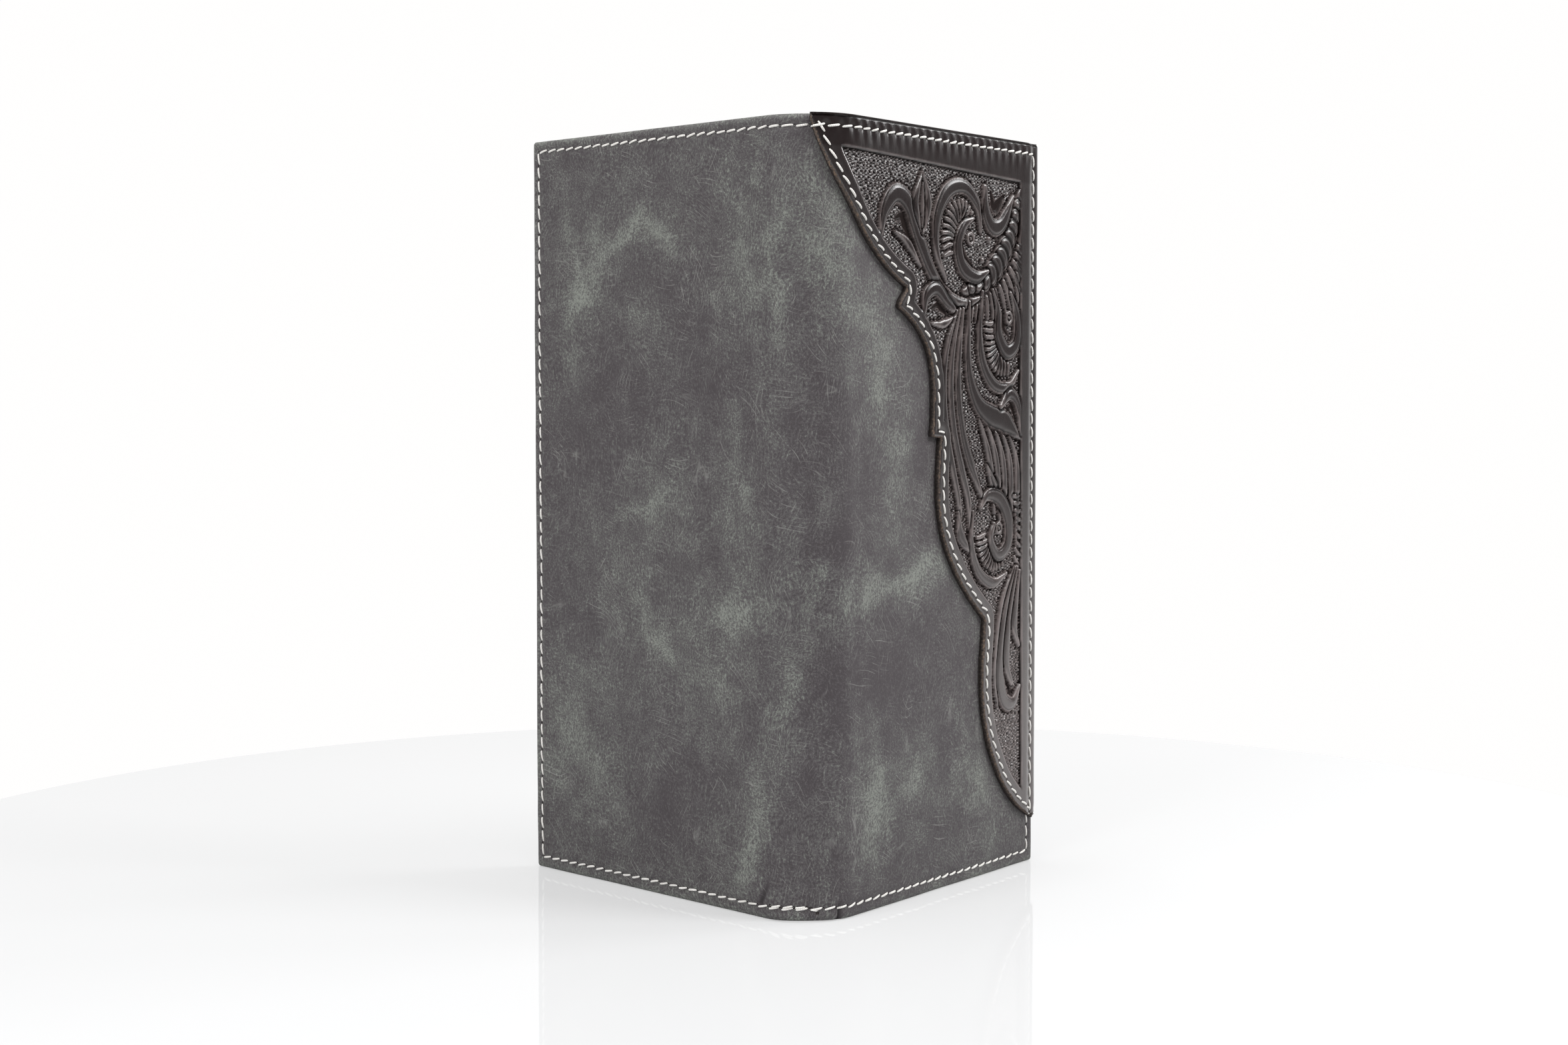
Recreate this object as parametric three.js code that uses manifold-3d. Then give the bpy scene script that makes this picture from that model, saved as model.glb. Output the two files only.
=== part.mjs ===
// A long western bifold wallet, standing half open on its short edges.
// The shell is one sheet of distressed leather with turned edges, folded round a soft spine.
// A scalloped overlay of tooled leather is sewn on the front cover and laps round the spine.
// Inside, each half has a lining, a panel that makes a bill pocket, and card pockets on it.
// Units are millimetres, +Z is up along the spine, and the spine faces -Y.

import * as THREE from 'three';
import { mergeVertices } from 'three/addons/utils/BufferGeometryUtils.js';
import Module from 'manifold-3d';

const wasm = await Module();
wasm.setup();

// Driving dimensions: the shell
const HEIGHT = 184;
const COVER_WIDTH = 82.8;
const SPINE_RADIUS = 13.5;
const OPEN_ANGLE = 80;
const CORNER_RADIUS = 3;
const SHELL_THICKNESS = 1.2;
const TURNED_EDGE_WIDTH = 8;
const TURNED_EDGE_THICKNESS = 0.8;
const EDGE_ROUNDING = 0.7;
const SPINE_LIFT = 0.8;

// Driving dimensions: the tooled overlay
const OVERLAY_THICKNESS = 1.2;
const OVERLAY_INSET = 0.5;
const OVERLAY_FOOT = 12.4;
const OVERLAY_TIP = 1.2;

// Driving dimensions: lining, bill panels, card pockets and the card window
const LINING_THICKNESS = 0.5;
const BILL_ROOM = 0.6;
const PANEL_THICKNESS = 0.8;
const PANEL_INSET = 0.8;
const PANEL_LAP = 2.2;
const POCKET_THICKNESS = 0.6;
const POCKET_TIERS = 3;
const POCKET_STEP = 14;
const FIRST_POCKET_MOUTH = 10;
const POCKET_CORNER = 1.5;
const BANK_SPACING = 1.2;
const WINDOW_MOUTH = 14;
const WINDOW_BORDER = 7;
const WINDOW_CORNER = 4;
const FILM_THICKNESS = 0.25;
const FILM_LAP = 3;

// Clearances between pieces that lie against each other
const LAYER_GAP = 0.3;
const SEAM_GAP = 0.3;

// How finely round stretches are divided
const BEND_STEPS = 18;
const CURVE_STEPS = 7;
const CORNER_STEPS = 4;
const ROUNDING_STEPS = 3;

// Sizes that follow from these
const bendAngle = THREE.MathUtils.degToRad((180 - OPEN_ANGLE) / 2);
const bendLength = SPINE_RADIUS * bendAngle;
const edgeThickness = SHELL_THICKNESS + TURNED_EDGE_THICKNESS;
const liningDepth = SHELL_THICKNESS + LAYER_GAP;
const panelDepth = Math.max(edgeThickness, liningDepth + LINING_THICKNESS) + BILL_ROOM;
const firstPocketDepth = panelDepth + PANEL_THICKNESS + LAYER_GAP;
const sewnWidth = COVER_WIDTH - PANEL_INSET;
const lowBank = [PANEL_INSET, (HEIGHT - BANK_SPACING) / 2];
const highBank = [(HEIGHT + BANK_SPACING) / 2, HEIGHT - PANEL_INSET];

const FRONT = 1;
const BACK = -1;

const shellLeather = new THREE.MeshStandardMaterial({ color: 0x3b3a38, roughness: 0.62, metalness: 0 });
const tooledLeather = new THREE.MeshStandardMaterial({ color: 0x15110f, roughness: 0.38, metalness: 0 });
const pocketLeather = new THREE.MeshStandardMaterial({ color: 0x2a2523, roughness: 0.55, metalness: 0 });
const liningCloth = new THREE.MeshStandardMaterial({ color: 0x1d1b1a, roughness: 0.85, metalness: 0 });
const clearFilm = new THREE.MeshStandardMaterial({
  color: 0xdfe4e6, roughness: 0.12, metalness: 0, transparent: true, opacity: 0.3,
});

// Booleans: a closed geometry becomes a solid, and a solid becomes a geometry again
function toSolid(geometry) {
  const bare = geometry.clone();
  bare.deleteAttribute('normal');
  bare.deleteAttribute('uv');
  const merged = mergeVertices(bare, 1e-4);
  return new wasm.Manifold(new wasm.Mesh({
    numProp: 3,
    vertProperties: new Float32Array(merged.attributes.position.array),
    triVerts: new Uint32Array(merged.index.array),
  }));
}

function toGeometry(solid) {
  const mesh = solid.getMesh();
  const geometry = new THREE.BufferGeometry();
  geometry.setAttribute('position', new THREE.BufferAttribute(mesh.vertProperties, 3));
  geometry.setIndex(new THREE.BufferAttribute(mesh.triVerts, 1));
  geometry.computeVertexNormals();
  return geometry;
}

function fromTriangles(points, triangles) {
  const geometry = new THREE.BufferGeometry();
  geometry.setFromPoints(points);
  geometry.setIndex(triangles.flat());
  geometry.computeVertexNormals();
  return geometry;
}

// An outline is drawn on a cover laid flat: across from the spine's bend, and up from the foot
function roundedOutline([x0, x1], [z0, z1], radius) {
  const outline = new THREE.Shape();
  outline.moveTo(x0 + radius, z0);
  outline.lineTo(x1 - radius, z0);
  outline.absarc(x1 - radius, z0 + radius, radius, -Math.PI / 2, 0);
  outline.lineTo(x1, z1 - radius);
  outline.absarc(x1 - radius, z1 - radius, radius, 0, Math.PI / 2);
  outline.lineTo(x0 + radius, z1);
  outline.absarc(x0 + radius, z1 - radius, radius, Math.PI / 2, Math.PI);
  outline.lineTo(x0, z0 + radius);
  outline.absarc(x0 + radius, z0 + radius, radius, Math.PI, Math.PI * 1.5);
  return outline;
}

// A sheet cut to an outline, lying between two depths under the shell's outer face
function sheet(outline, outerDepth, thickness, rounding = 0) {
  const geometry = new THREE.ExtrudeGeometry(outline, {
    depth: thickness - 2 * rounding,
    curveSegments: CORNER_STEPS,
    bevelEnabled: rounding > 0,
    bevelSize: rounding,
    bevelThickness: rounding,
    bevelOffset: -rounding,
    bevelSegments: ROUNDING_STEPS,
  });
  geometry.rotateX(Math.PI / 2);
  geometry.translate(0, outerDepth + thickness - rounding, 0);
  return geometry;
}

function block([x0, x1], [y0, y1], [z0, z1]) {
  const geometry = new THREE.BoxGeometry(x1 - x0, y1 - y0, z1 - z0);
  geometry.translate((x0 + x1) / 2, (y0 + y1) / 2, (z0 + z1) / 2);
  return geometry;
}

// Distances from the bend run to +X on the front cover and to -X on the back cover
function span(side, near, far) {
  return [side * near, side * far].sort((a, b) => a - b);
}

// The shell wraps round the spine: across is measured on the sheet from the spine's middle
function fold(across, depth, up) {
  const side = Math.sign(across);
  const turn = Math.min(Math.abs(across), bendLength) / SPINE_RADIUS;
  const straight = Math.max(Math.abs(across) - bendLength, 0);
  const reach = SPINE_RADIUS - depth;
  return new THREE.Vector3(
    side * (reach * Math.sin(turn) + straight * Math.cos(turn)),
    SPINE_RADIUS - reach * Math.cos(turn) + straight * Math.sin(turn),
    up,
  );
}

// Shell: a cover with its turned edge standing proud round three sides of the inner face
function coverLeather(side) {
  const blank = roundedOutline(span(side, -2 * CORNER_RADIUS, COVER_WIDTH), [0, HEIGHT], CORNER_RADIUS);
  const past = 4 * CORNER_RADIUS;
  const seam = block(span(side, -past, SEAM_GAP / 2), [-past, past], [-past, HEIGHT + past]);
  const recess = block(
    span(side, -past, COVER_WIDTH - TURNED_EDGE_WIDTH),
    [SHELL_THICKNESS, past],
    [TURNED_EDGE_WIDTH, HEIGHT - TURNED_EDGE_WIDTH],
  );
  const leather = toSolid(sheet(blank, 0, edgeThickness, EDGE_ROUNDING));
  return toGeometry(leather.subtract(toSolid(seam)).subtract(toSolid(recess)));
}

// A quarter round from the flat end of an edge to its face, as steps out and in
function quarterRound(radius) {
  const steps = [];
  for (let i = 0; i <= ROUNDING_STEPS; i += 1) {
    const turn = (i / ROUNDING_STEPS) * (Math.PI / 2);
    steps.push([radius * (1 - Math.cos(turn)), radius * (1 - Math.sin(turn))]);
  }
  return steps;
}

// Section of the spine sheet with both ends turned in, as [up, depth] points
function turnedSection(foot, head) {
  const round = quarterRound(EDGE_ROUNDING);
  const section = [];
  for (const [inset, depth] of round) {
    section.push([foot + inset, depth]);
  }
  for (const [inset, depth] of [...round].reverse()) {
    section.push([head - inset, depth]);
  }
  for (const [inset, depth] of round) {
    section.push([head - inset, edgeThickness - depth]);
  }
  section.push([head - TURNED_EDGE_WIDTH, edgeThickness]);
  section.push([head - TURNED_EDGE_WIDTH, SHELL_THICKNESS]);
  section.push([foot + TURNED_EDGE_WIDTH, SHELL_THICKNESS]);
  section.push([foot + TURNED_EDGE_WIDTH, edgeThickness]);
  for (const [inset, depth] of [...round].reverse()) {
    section.push([foot + inset, edgeThickness - depth]);
  }
  return section;
}

function plainSection(foot, head, depth, thickness) {
  return [[foot, depth], [head, depth], [head, depth + thickness], [foot, depth + thickness]];
}

// A section carried round the bend from one cover to the other
function roundTheBend(sectionAt) {
  const end = bendLength - SEAM_GAP / 2;
  const points = [];
  const triangles = [];
  const count = sectionAt(0).length;
  for (let i = 0; i <= BEND_STEPS; i += 1) {
    const across = THREE.MathUtils.lerp(-end, end, i / BEND_STEPS);
    for (const [up, depth] of sectionAt(across)) {
      points.push(fold(across, depth, up));
    }
  }
  for (let i = 0; i < BEND_STEPS; i += 1) {
    for (let j = 0; j < count; j += 1) {
      const here = i * count + j;
      const next = i * count + ((j + 1) % count);
      triangles.push([here, here + count, next + count], [here, next + count, next]);
    }
  }
  const corners = sectionAt(0).map(([up, depth]) => new THREE.Vector2(up, depth));
  const last = BEND_STEPS * count;
  for (const [a, b, c] of THREE.ShapeUtils.triangulateShape(corners, [])) {
    triangles.push([a, b, c], [last + a, last + c, last + b]);
  }
  return fromTriangles(points, triangles);
}

// The foot of the spine lifts off the table a little in the middle of the bend
function spineFoot(across) {
  return SPINE_LIFT * Math.cos((across / bendLength) * (Math.PI / 2)) ** 2;
}

function spineLeather() {
  return roundTheBend((across) => turnedSection(spineFoot(across), HEIGHT));
}

function spineLining() {
  const foot = SPINE_LIFT + TURNED_EDGE_WIDTH + LAYER_GAP;
  const head = HEIGHT - TURNED_EDGE_WIDTH - LAYER_GAP;
  return roundTheBend(() => plainSection(foot, head, liningDepth, LINING_THICKNESS));
}

// Overlay: the cut edge runs from the tip at the spine's middle down to the outer edge in four
// scallops, drawn as curves on the flat sheet in shares of the overlay's width and height
const overlayWidth = bendLength + COVER_WIDTH - OVERLAY_INSET;
const overlayHead = HEIGHT - OVERLAY_INSET;

function scallopedEdge() {
  const at = (across, up) => [
    across * overlayWidth,
    OVERLAY_FOOT + up * (overlayHead - OVERLAY_FOOT),
  ];
  const edge = new THREE.Path();
  const curve = (a, b, end) => edge.bezierCurveTo(...at(...a), ...at(...b), ...at(...end));
  edge.moveTo(0, overlayHead - OVERLAY_TIP);
  curve([0.048, 0.909], [0.165, 0.821], [0.342, 0.781]);
  curve([0.346, 0.773], [0.31, 0.766], [0.311, 0.752]);
  curve([0.372, 0.736], [0.47, 0.711], [0.472, 0.635]);
  curve([0.473, 0.615], [0.471, 0.595], [0.464, 0.574]);
  edge.lineTo(...at(0.505, 0.572));
  curve([0.497, 0.535], [0.488, 0.497], [0.502, 0.465]);
  curve([0.516, 0.418], [0.584, 0.364], [0.724, 0.307]);
  edge.lineTo(...at(0.725, 0.302));
  curve([0.721, 0.272], [0.711, 0.237], [0.714, 0.206]);
  curve([0.719, 0.12], [0.813, 0.012], [1, 0]);
  return edge.getPoints(CURVE_STEPS);
}

// The outline is split where the bend ends, so the lap round the spine is a row of strips
function tooledOverlay() {
  const edge = scallopedEdge();
  const crossing = edge.findIndex((point) => point.x > bendLength);
  const share = (bendLength - edge[crossing - 1].x) / (edge[crossing].x - edge[crossing - 1].x);
  edge.splice(crossing, 0, edge[crossing - 1].clone().lerp(edge[crossing], share));

  const head = new THREE.Path();
  head.moveTo(overlayWidth, overlayHead - CORNER_RADIUS);
  head.absarc(overlayWidth - CORNER_RADIUS, overlayHead - CORNER_RADIUS, CORNER_RADIUS, 0, Math.PI / 2);
  const corner = head.getPoints(CORNER_STEPS).slice(1);
  const top = edge.slice(0, crossing + 1).reverse().map((point) => new THREE.Vector2(point.x, overlayHead));
  const outline = [...edge, ...corner, ...top];

  const outerDepth = -LAYER_GAP - OVERLAY_THICKNESS;
  const points = outline.map((point) => fold(point.x, outerDepth, point.y));
  const inner = points.length;
  points.push(...outline.map((point) => fold(point.x, -LAYER_GAP, point.y)));

  const faces = [];
  for (let i = 0; i < crossing; i += 1) {
    const above = inner - 1 - i;
    faces.push([i, i + 1, above - 1], [i, above - 1, above]);
  }
  const flatFrom = crossing;
  const flatTo = inner - crossing;
  const flat = outline.slice(flatFrom, flatTo);
  for (const face of THREE.ShapeUtils.triangulateShape(flat, [])) {
    faces.push(face.map((index) => index + flatFrom));
  }

  const triangles = [];
  for (const [a, b, c] of faces) {
    triangles.push([a, b, c], [inner + a, inner + c, inner + b]);
  }
  for (let i = 0; i < inner; i += 1) {
    const next = (i + 1) % inner;
    triangles.push([i, inner + i, inner + next], [i, inner + next, next]);
  }
  return fromTriangles(points, triangles);
}

// Lining, bill panel and pockets of one half, all flat
function coverLining(side) {
  const across = span(side, SEAM_GAP / 2, COVER_WIDTH - TURNED_EDGE_WIDTH - LAYER_GAP);
  const up = [TURNED_EDGE_WIDTH + LAYER_GAP, HEIGHT - TURNED_EDGE_WIDTH - LAYER_GAP];
  return block(across, [liningDepth, liningDepth + LINING_THICKNESS], up);
}

function billPanel(side) {
  const across = span(side, -PANEL_LAP, sewnWidth);
  const outline = roundedOutline(across, [PANEL_INSET, HEIGHT - PANEL_INSET], CORNER_RADIUS);
  return sheet(outline, panelDepth, PANEL_THICKNESS);
}

// A pocket is sewn down on three sides, and its straight mouth faces the spine
function cardPocket(side, tier, bank) {
  const depth = firstPocketDepth + tier * (POCKET_THICKNESS + LAYER_GAP);
  const mouth = FIRST_POCKET_MOUTH + tier * POCKET_STEP;
  const outline = roundedOutline(span(side, mouth, sewnWidth), bank, POCKET_CORNER);
  return sheet(outline, depth, POCKET_THICKNESS);
}

// Card window: a leather frame over a clear film, open towards the spine like the pockets
const windowAcross = span(FRONT, WINDOW_MOUTH + WINDOW_BORDER, sewnWidth - WINDOW_BORDER);
const windowUp = [highBank[0] + WINDOW_BORDER, highBank[1] - WINDOW_BORDER];

function windowFilm() {
  const across = span(FRONT, windowAcross[0] - FILM_LAP, windowAcross[1] + FILM_LAP);
  const up = [windowUp[0] - FILM_LAP, windowUp[1] + FILM_LAP];
  return block(across, [firstPocketDepth, firstPocketDepth + FILM_THICKNESS], up);
}

function windowFrame() {
  const outline = roundedOutline(span(FRONT, WINDOW_MOUTH, sewnWidth), highBank, CORNER_RADIUS);
  outline.holes.push(roundedOutline(windowAcross, windowUp, WINDOW_CORNER));
  return sheet(outline, firstPocketDepth + FILM_THICKNESS + LAYER_GAP, POCKET_THICKNESS);
}

function piece(name, geometry, material) {
  const mesh = new THREE.Mesh(geometry, material);
  mesh.name = name;
  return mesh;
}

// Each cover is a flat group that turns about its end of the bend
function coverGroup(side) {
  const group = new THREE.Group();
  const bendEnd = fold(side * bendLength, 0, 0);
  group.position.copy(bendEnd);
  group.rotation.z = side * bendAngle;
  return group;
}

const back = coverGroup(BACK);
back.add(
  piece('back_cover_leather', coverLeather(BACK), shellLeather),
  piece('back_lining', coverLining(BACK), liningCloth),
  piece('back_bill_panel', billPanel(BACK), pocketLeather),
);
for (let tier = 0; tier < POCKET_TIERS; tier += 1) {
  back.add(
    piece(`back_low_card_pocket_${tier + 1}`, cardPocket(BACK, tier, lowBank), pocketLeather),
    piece(`back_high_card_pocket_${tier + 1}`, cardPocket(BACK, tier, highBank), pocketLeather),
  );
}

const front = coverGroup(FRONT);
front.add(
  piece('front_cover_leather', coverLeather(FRONT), shellLeather),
  piece('front_lining', coverLining(FRONT), liningCloth),
  piece('front_bill_panel', billPanel(FRONT), pocketLeather),
  piece('card_window_film', windowFilm(), clearFilm),
  piece('card_window_frame', windowFrame(), pocketLeather),
);
for (let tier = 0; tier < POCKET_TIERS; tier += 1) {
  front.add(piece(`front_low_card_pocket_${tier + 1}`, cardPocket(FRONT, tier, lowBank), pocketLeather));
}

const spine = new THREE.Group();
spine.add(
  piece('spine_leather', spineLeather(), shellLeather),
  piece('spine_lining', spineLining(), liningCloth),
  piece('tooled_overlay', tooledOverlay(), tooledLeather),
);

// The origin is on the table, under the middle of the standing wallet
const wallet = new THREE.Group();
wallet.add(back, spine, front);
wallet.updateMatrixWorld(true);
const middle = new THREE.Box3().setFromObject(wallet, true).getCenter(new THREE.Vector3());
wallet.position.set(-middle.x, -middle.y, 0);

export default wallet;
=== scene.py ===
import math

import bpy
import numpy as np
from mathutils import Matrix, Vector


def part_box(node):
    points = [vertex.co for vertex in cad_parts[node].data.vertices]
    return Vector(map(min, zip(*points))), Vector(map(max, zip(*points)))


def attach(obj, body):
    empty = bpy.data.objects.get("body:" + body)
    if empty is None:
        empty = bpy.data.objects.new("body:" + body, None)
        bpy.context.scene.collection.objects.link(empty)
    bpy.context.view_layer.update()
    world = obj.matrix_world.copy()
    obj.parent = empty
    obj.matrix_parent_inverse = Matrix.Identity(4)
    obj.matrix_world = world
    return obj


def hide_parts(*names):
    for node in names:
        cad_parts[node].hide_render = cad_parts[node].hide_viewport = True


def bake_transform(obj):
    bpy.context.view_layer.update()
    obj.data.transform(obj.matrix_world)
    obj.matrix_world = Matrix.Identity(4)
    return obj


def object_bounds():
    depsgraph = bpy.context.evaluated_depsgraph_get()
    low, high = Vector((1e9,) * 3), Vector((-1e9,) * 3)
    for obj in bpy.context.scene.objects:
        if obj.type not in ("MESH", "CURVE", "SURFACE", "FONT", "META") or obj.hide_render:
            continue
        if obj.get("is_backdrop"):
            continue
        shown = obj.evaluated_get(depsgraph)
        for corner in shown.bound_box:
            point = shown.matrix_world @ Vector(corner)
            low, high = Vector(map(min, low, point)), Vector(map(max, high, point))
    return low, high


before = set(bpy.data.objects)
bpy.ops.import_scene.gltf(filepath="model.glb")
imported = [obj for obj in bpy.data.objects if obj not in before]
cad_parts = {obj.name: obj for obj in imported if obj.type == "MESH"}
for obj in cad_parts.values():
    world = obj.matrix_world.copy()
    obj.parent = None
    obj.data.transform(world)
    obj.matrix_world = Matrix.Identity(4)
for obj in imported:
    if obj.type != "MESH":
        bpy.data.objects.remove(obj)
cad_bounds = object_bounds()

# Table and camera: the wallet stands on a round white turntable with a soft gloss, before white.
# The camera is a little to the left of the spine, above the middle of the wallet, looking down at it.
MM = 0.001
spine_low, spine_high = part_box("spine_leather")
spine_middle_x = (spine_low.x + spine_high.x) / 2
spine_front_y = spine_low.y

CAMERA_FROM_SPINE = (-43.4, -536.0, 123.0)
CAMERA_HEADING = 4.013
CAMERA_PITCH = 3.315
CAMERA_LENS = 54.51
CAMERA_NEAR = 10.0
SENSOR_WIDTH = 36.0
TABLE_RADIUS = 252.0
TABLE_THICKNESS = 8.0
TABLE_BEHIND_SPINE = 70.0
TABLE_SIDES = 160
TABLE_SHARP_ANGLE = 40
TABLE_WHITE = (0.60, 0.604, 0.61, 1.0)
TABLE_GLOSS = 0.11
TABLE_GLOW = 0.4
TABLE_POLISH = (0.002, 0.006)
TABLE_POLISH_SCALE = 9.0
NOISE_RANGE = (0.3, 0.7)


def add_node(tree, kind, inputs=None, **settings):
    """A shader node with its settings, and its inputs set to values or joined to other sockets."""
    node = tree.nodes.new(kind)
    for key, value in settings.items():
        setattr(node, key, value)
    for key, value in (inputs or {}).items():
        if isinstance(value, bpy.types.NodeSocket):
            tree.links.new(value, node.inputs[key])
        else:
            node.inputs[key].default_value = value
    return node


def new_material(name, **surface):
    """A material with one Principled shader, whose sockets are set by name."""
    material = bpy.data.materials.new(name)
    material.use_nodes = True
    shader = material.node_tree.nodes["Principled BSDF"]
    for key, value in surface.items():
        shader.inputs[key.replace("_", " ")].default_value = value
    return material, material.node_tree, shader


def noise(tree, where, scale, detail=4.0, roughness=0.5, distortion=0.0):
    """Cloudy noise round 0.5 at each place, finer for a larger scale."""
    values = {"Vector": where, "Scale": scale, "Detail": detail}
    values.update({"Roughness": roughness, "Distortion": distortion})
    return add_node(tree, "ShaderNodeTexNoise", values).outputs[0]


def remap(tree, value, low, high, new_low, new_high):
    """Stretches the values from low to high to a new range and holds them inside it."""
    values = {"Value": value, "From Min": low, "From Max": high, "To Min": new_low, "To Max": new_high}
    return add_node(tree, "ShaderNodeMapRange", values).outputs[0]


def combine(tree, operation, first, second):
    """Two values put together by one step of arithmetic."""
    return add_node(tree, "ShaderNodeMath", {0: first, 1: second}, operation=operation).outputs[0]


def add_piece(name, points, faces, *materials):
    """A smooth mesh object from points in metres and faces as lists of indices."""
    mesh = bpy.data.meshes.new(name)
    mesh.from_pydata(np.asarray(points).tolist(), [], faces)
    mesh.polygons.foreach_set("use_smooth", np.ones(len(mesh.polygons), bool))
    for material in materials:
        mesh.materials.append(material)
    piece = bpy.data.objects.new(name, mesh)
    bpy.context.scene.collection.objects.link(piece)
    return piece


camera_data = bpy.data.cameras.new("camera")
camera_data.lens = CAMERA_LENS
camera_data.sensor_width = SENSOR_WIDTH
camera_data.sensor_fit = "HORIZONTAL"
camera_data.clip_start = CAMERA_NEAR * MM
camera = bpy.data.objects.new("camera", camera_data)
camera.location = (
    spine_middle_x + CAMERA_FROM_SPINE[0] * MM,
    spine_front_y + CAMERA_FROM_SPINE[1] * MM,
    CAMERA_FROM_SPINE[2] * MM,
)
camera.rotation_euler = (math.radians(90 - CAMERA_PITCH), 0, math.radians(-CAMERA_HEADING))
bpy.context.scene.collection.objects.link(camera)
bpy.context.scene.camera = camera

table_white, table_tree, table_shader = new_material(
    "table_white", Base_Color=TABLE_WHITE, Specular_IOR_Level=TABLE_GLOSS
)
table_place = add_node(table_tree, "ShaderNodeTexCoord").outputs["Object"]
table_cloud = noise(table_tree, table_place, TABLE_POLISH_SCALE)
table_polish = remap(table_tree, table_cloud, *NOISE_RANGE, *TABLE_POLISH)
table_tree.links.new(table_polish, table_shader.inputs["Roughness"])
table_seen = add_node(table_tree, "ShaderNodeLightPath").outputs["Is Camera Ray"]
table_glow = add_node(table_tree, "ShaderNodeEmission", {"Strength": 1.0})
glow_share = combine(table_tree, "MULTIPLY", table_seen, TABLE_GLOW)
table_looks = {0: glow_share, 1: table_shader.outputs[0], 2: table_glow.outputs[0]}
table_mix = add_node(table_tree, "ShaderNodeMixShader", table_looks)
table_tree.links.new(table_mix.outputs[0], table_tree.nodes["Material Output"].inputs["Surface"])

rim_turns = np.linspace(0, 2 * np.pi, TABLE_SIDES, endpoint=False)
rim = np.stack([np.cos(rim_turns), np.sin(rim_turns)], axis=-1) * TABLE_RADIUS * MM
rim += (spine_middle_x, spine_front_y + TABLE_BEHIND_SPINE * MM)
rim_top = np.column_stack([rim, np.zeros(TABLE_SIDES)])
rim_under = np.column_stack([rim, np.full(TABLE_SIDES, -TABLE_THICKNESS * MM)])
table_faces = [list(range(TABLE_SIDES)), list(range(2 * TABLE_SIDES - 1, TABLE_SIDES - 1, -1))]
for i in range(TABLE_SIDES):
    after = (i + 1) % TABLE_SIDES
    table_faces.append([i, i + TABLE_SIDES, after + TABLE_SIDES, after])
table = add_piece("table", np.vstack([rim_top, rim_under]), table_faces, table_white)
table.data.set_sharp_from_angle(angle=math.radians(TABLE_SHARP_ANGLE))
table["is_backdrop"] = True

# Light: a white sweep behind and under the table, a pale ceiling, a dim room and four soft lamps.
# The camera sees white everywhere, gloss sees the sweep or the room, and soft light is from all sides.
SOFT_LIGHT = 0.55
ROOM_LIGHT = 0.15
ROOM_WHITE = (1.0, 0.995, 0.99, 1.0)
SWEEP_LIGHT = 1.0
SWEEP_STARTS = (0.30, 0.78)
SWEEP_FLOOR = (0.0, -0.12)
CEILING_LIGHT = 0.7
CEILING_STARTS = (0.35, 0.85)
world = bpy.data.worlds.new("white_room")
bpy.context.scene.world = world
world.use_nodes = True
world_tree = world.node_tree
seen = add_node(world_tree, "ShaderNodeLightPath")
heading = add_node(world_tree, "ShaderNodeTexCoord").outputs["Generated"]
heading_parts = add_node(world_tree, "ShaderNodeSeparateXYZ", {0: heading})
behind = remap(world_tree, heading_parts.outputs["Y"], *SWEEP_STARTS, ROOM_LIGHT, SWEEP_LIGHT)
under = remap(world_tree, heading_parts.outputs["Z"], *SWEEP_FLOOR, ROOM_LIGHT, SWEEP_LIGHT)
above = remap(world_tree, heading_parts.outputs["Z"], *CEILING_STARTS, ROOM_LIGHT, CEILING_LIGHT)
sweep = combine(world_tree, "MAXIMUM", combine(world_tree, "MAXIMUM", behind, under), above)
through = seen.outputs["Is Transmission Ray"]
seen_or_through = combine(world_tree, "MAXIMUM", seen.outputs["Is Camera Ray"], through)
sweep_over_soft = combine(world_tree, "SUBTRACT", sweep, SOFT_LIGHT)
mirrored = combine(world_tree, "MULTIPLY", seen.outputs["Is Glossy Ray"], sweep_over_soft)
room_level = combine(world_tree, "ADD", mirrored, SOFT_LIGHT)
world_level = combine(world_tree, "MAXIMUM", seen_or_through, room_level)
world_tree.links.new(world_level, world_tree.nodes["Background"].inputs["Strength"])
world_tree.nodes["Background"].inputs["Color"].default_value = ROOM_WHITE
bpy.context.scene.view_settings.view_transform = "Standard"

# Where each lamp stands, what it points at and its size, in millimetres, and its watts
LAMPS = {
    "left_softbox": ((-560, -600, 560), (0, 0, 95), (480, 480), 4.6),
    "right_softbox": ((520, -190, 620), (45, 50, 100), (270, 270), 3.4),
    "right_strip": ((590, 165, 420), (45, 50, 100), (240, 240), 1.6),
    "top_softbox": ((-60, -120, 900), (0, 0, 90), (620, 620), 3.6),
}
for lamp_name, (lamp_at, lamp_towards, lamp_size, lamp_watts) in LAMPS.items():
    lamp_data = bpy.data.lights.new(lamp_name, "AREA")
    lamp_data.shape = "RECTANGLE"
    lamp_data.size = lamp_size[0] * MM
    lamp_data.size_y = lamp_size[1] * MM
    lamp_data.energy = lamp_watts
    lamp = bpy.data.objects.new(lamp_name, lamp_data)
    lamp.location = [value * MM for value in lamp_at]
    aim = np.subtract(lamp_towards, lamp_at)
    lamp.rotation_euler = (
        math.atan2(math.hypot(aim[0], aim[1]), -aim[2]),
        0,
        math.atan2(aim[1], aim[0]) - math.pi / 2,
    )
    bpy.context.scene.collection.objects.link(lamp)

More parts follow.
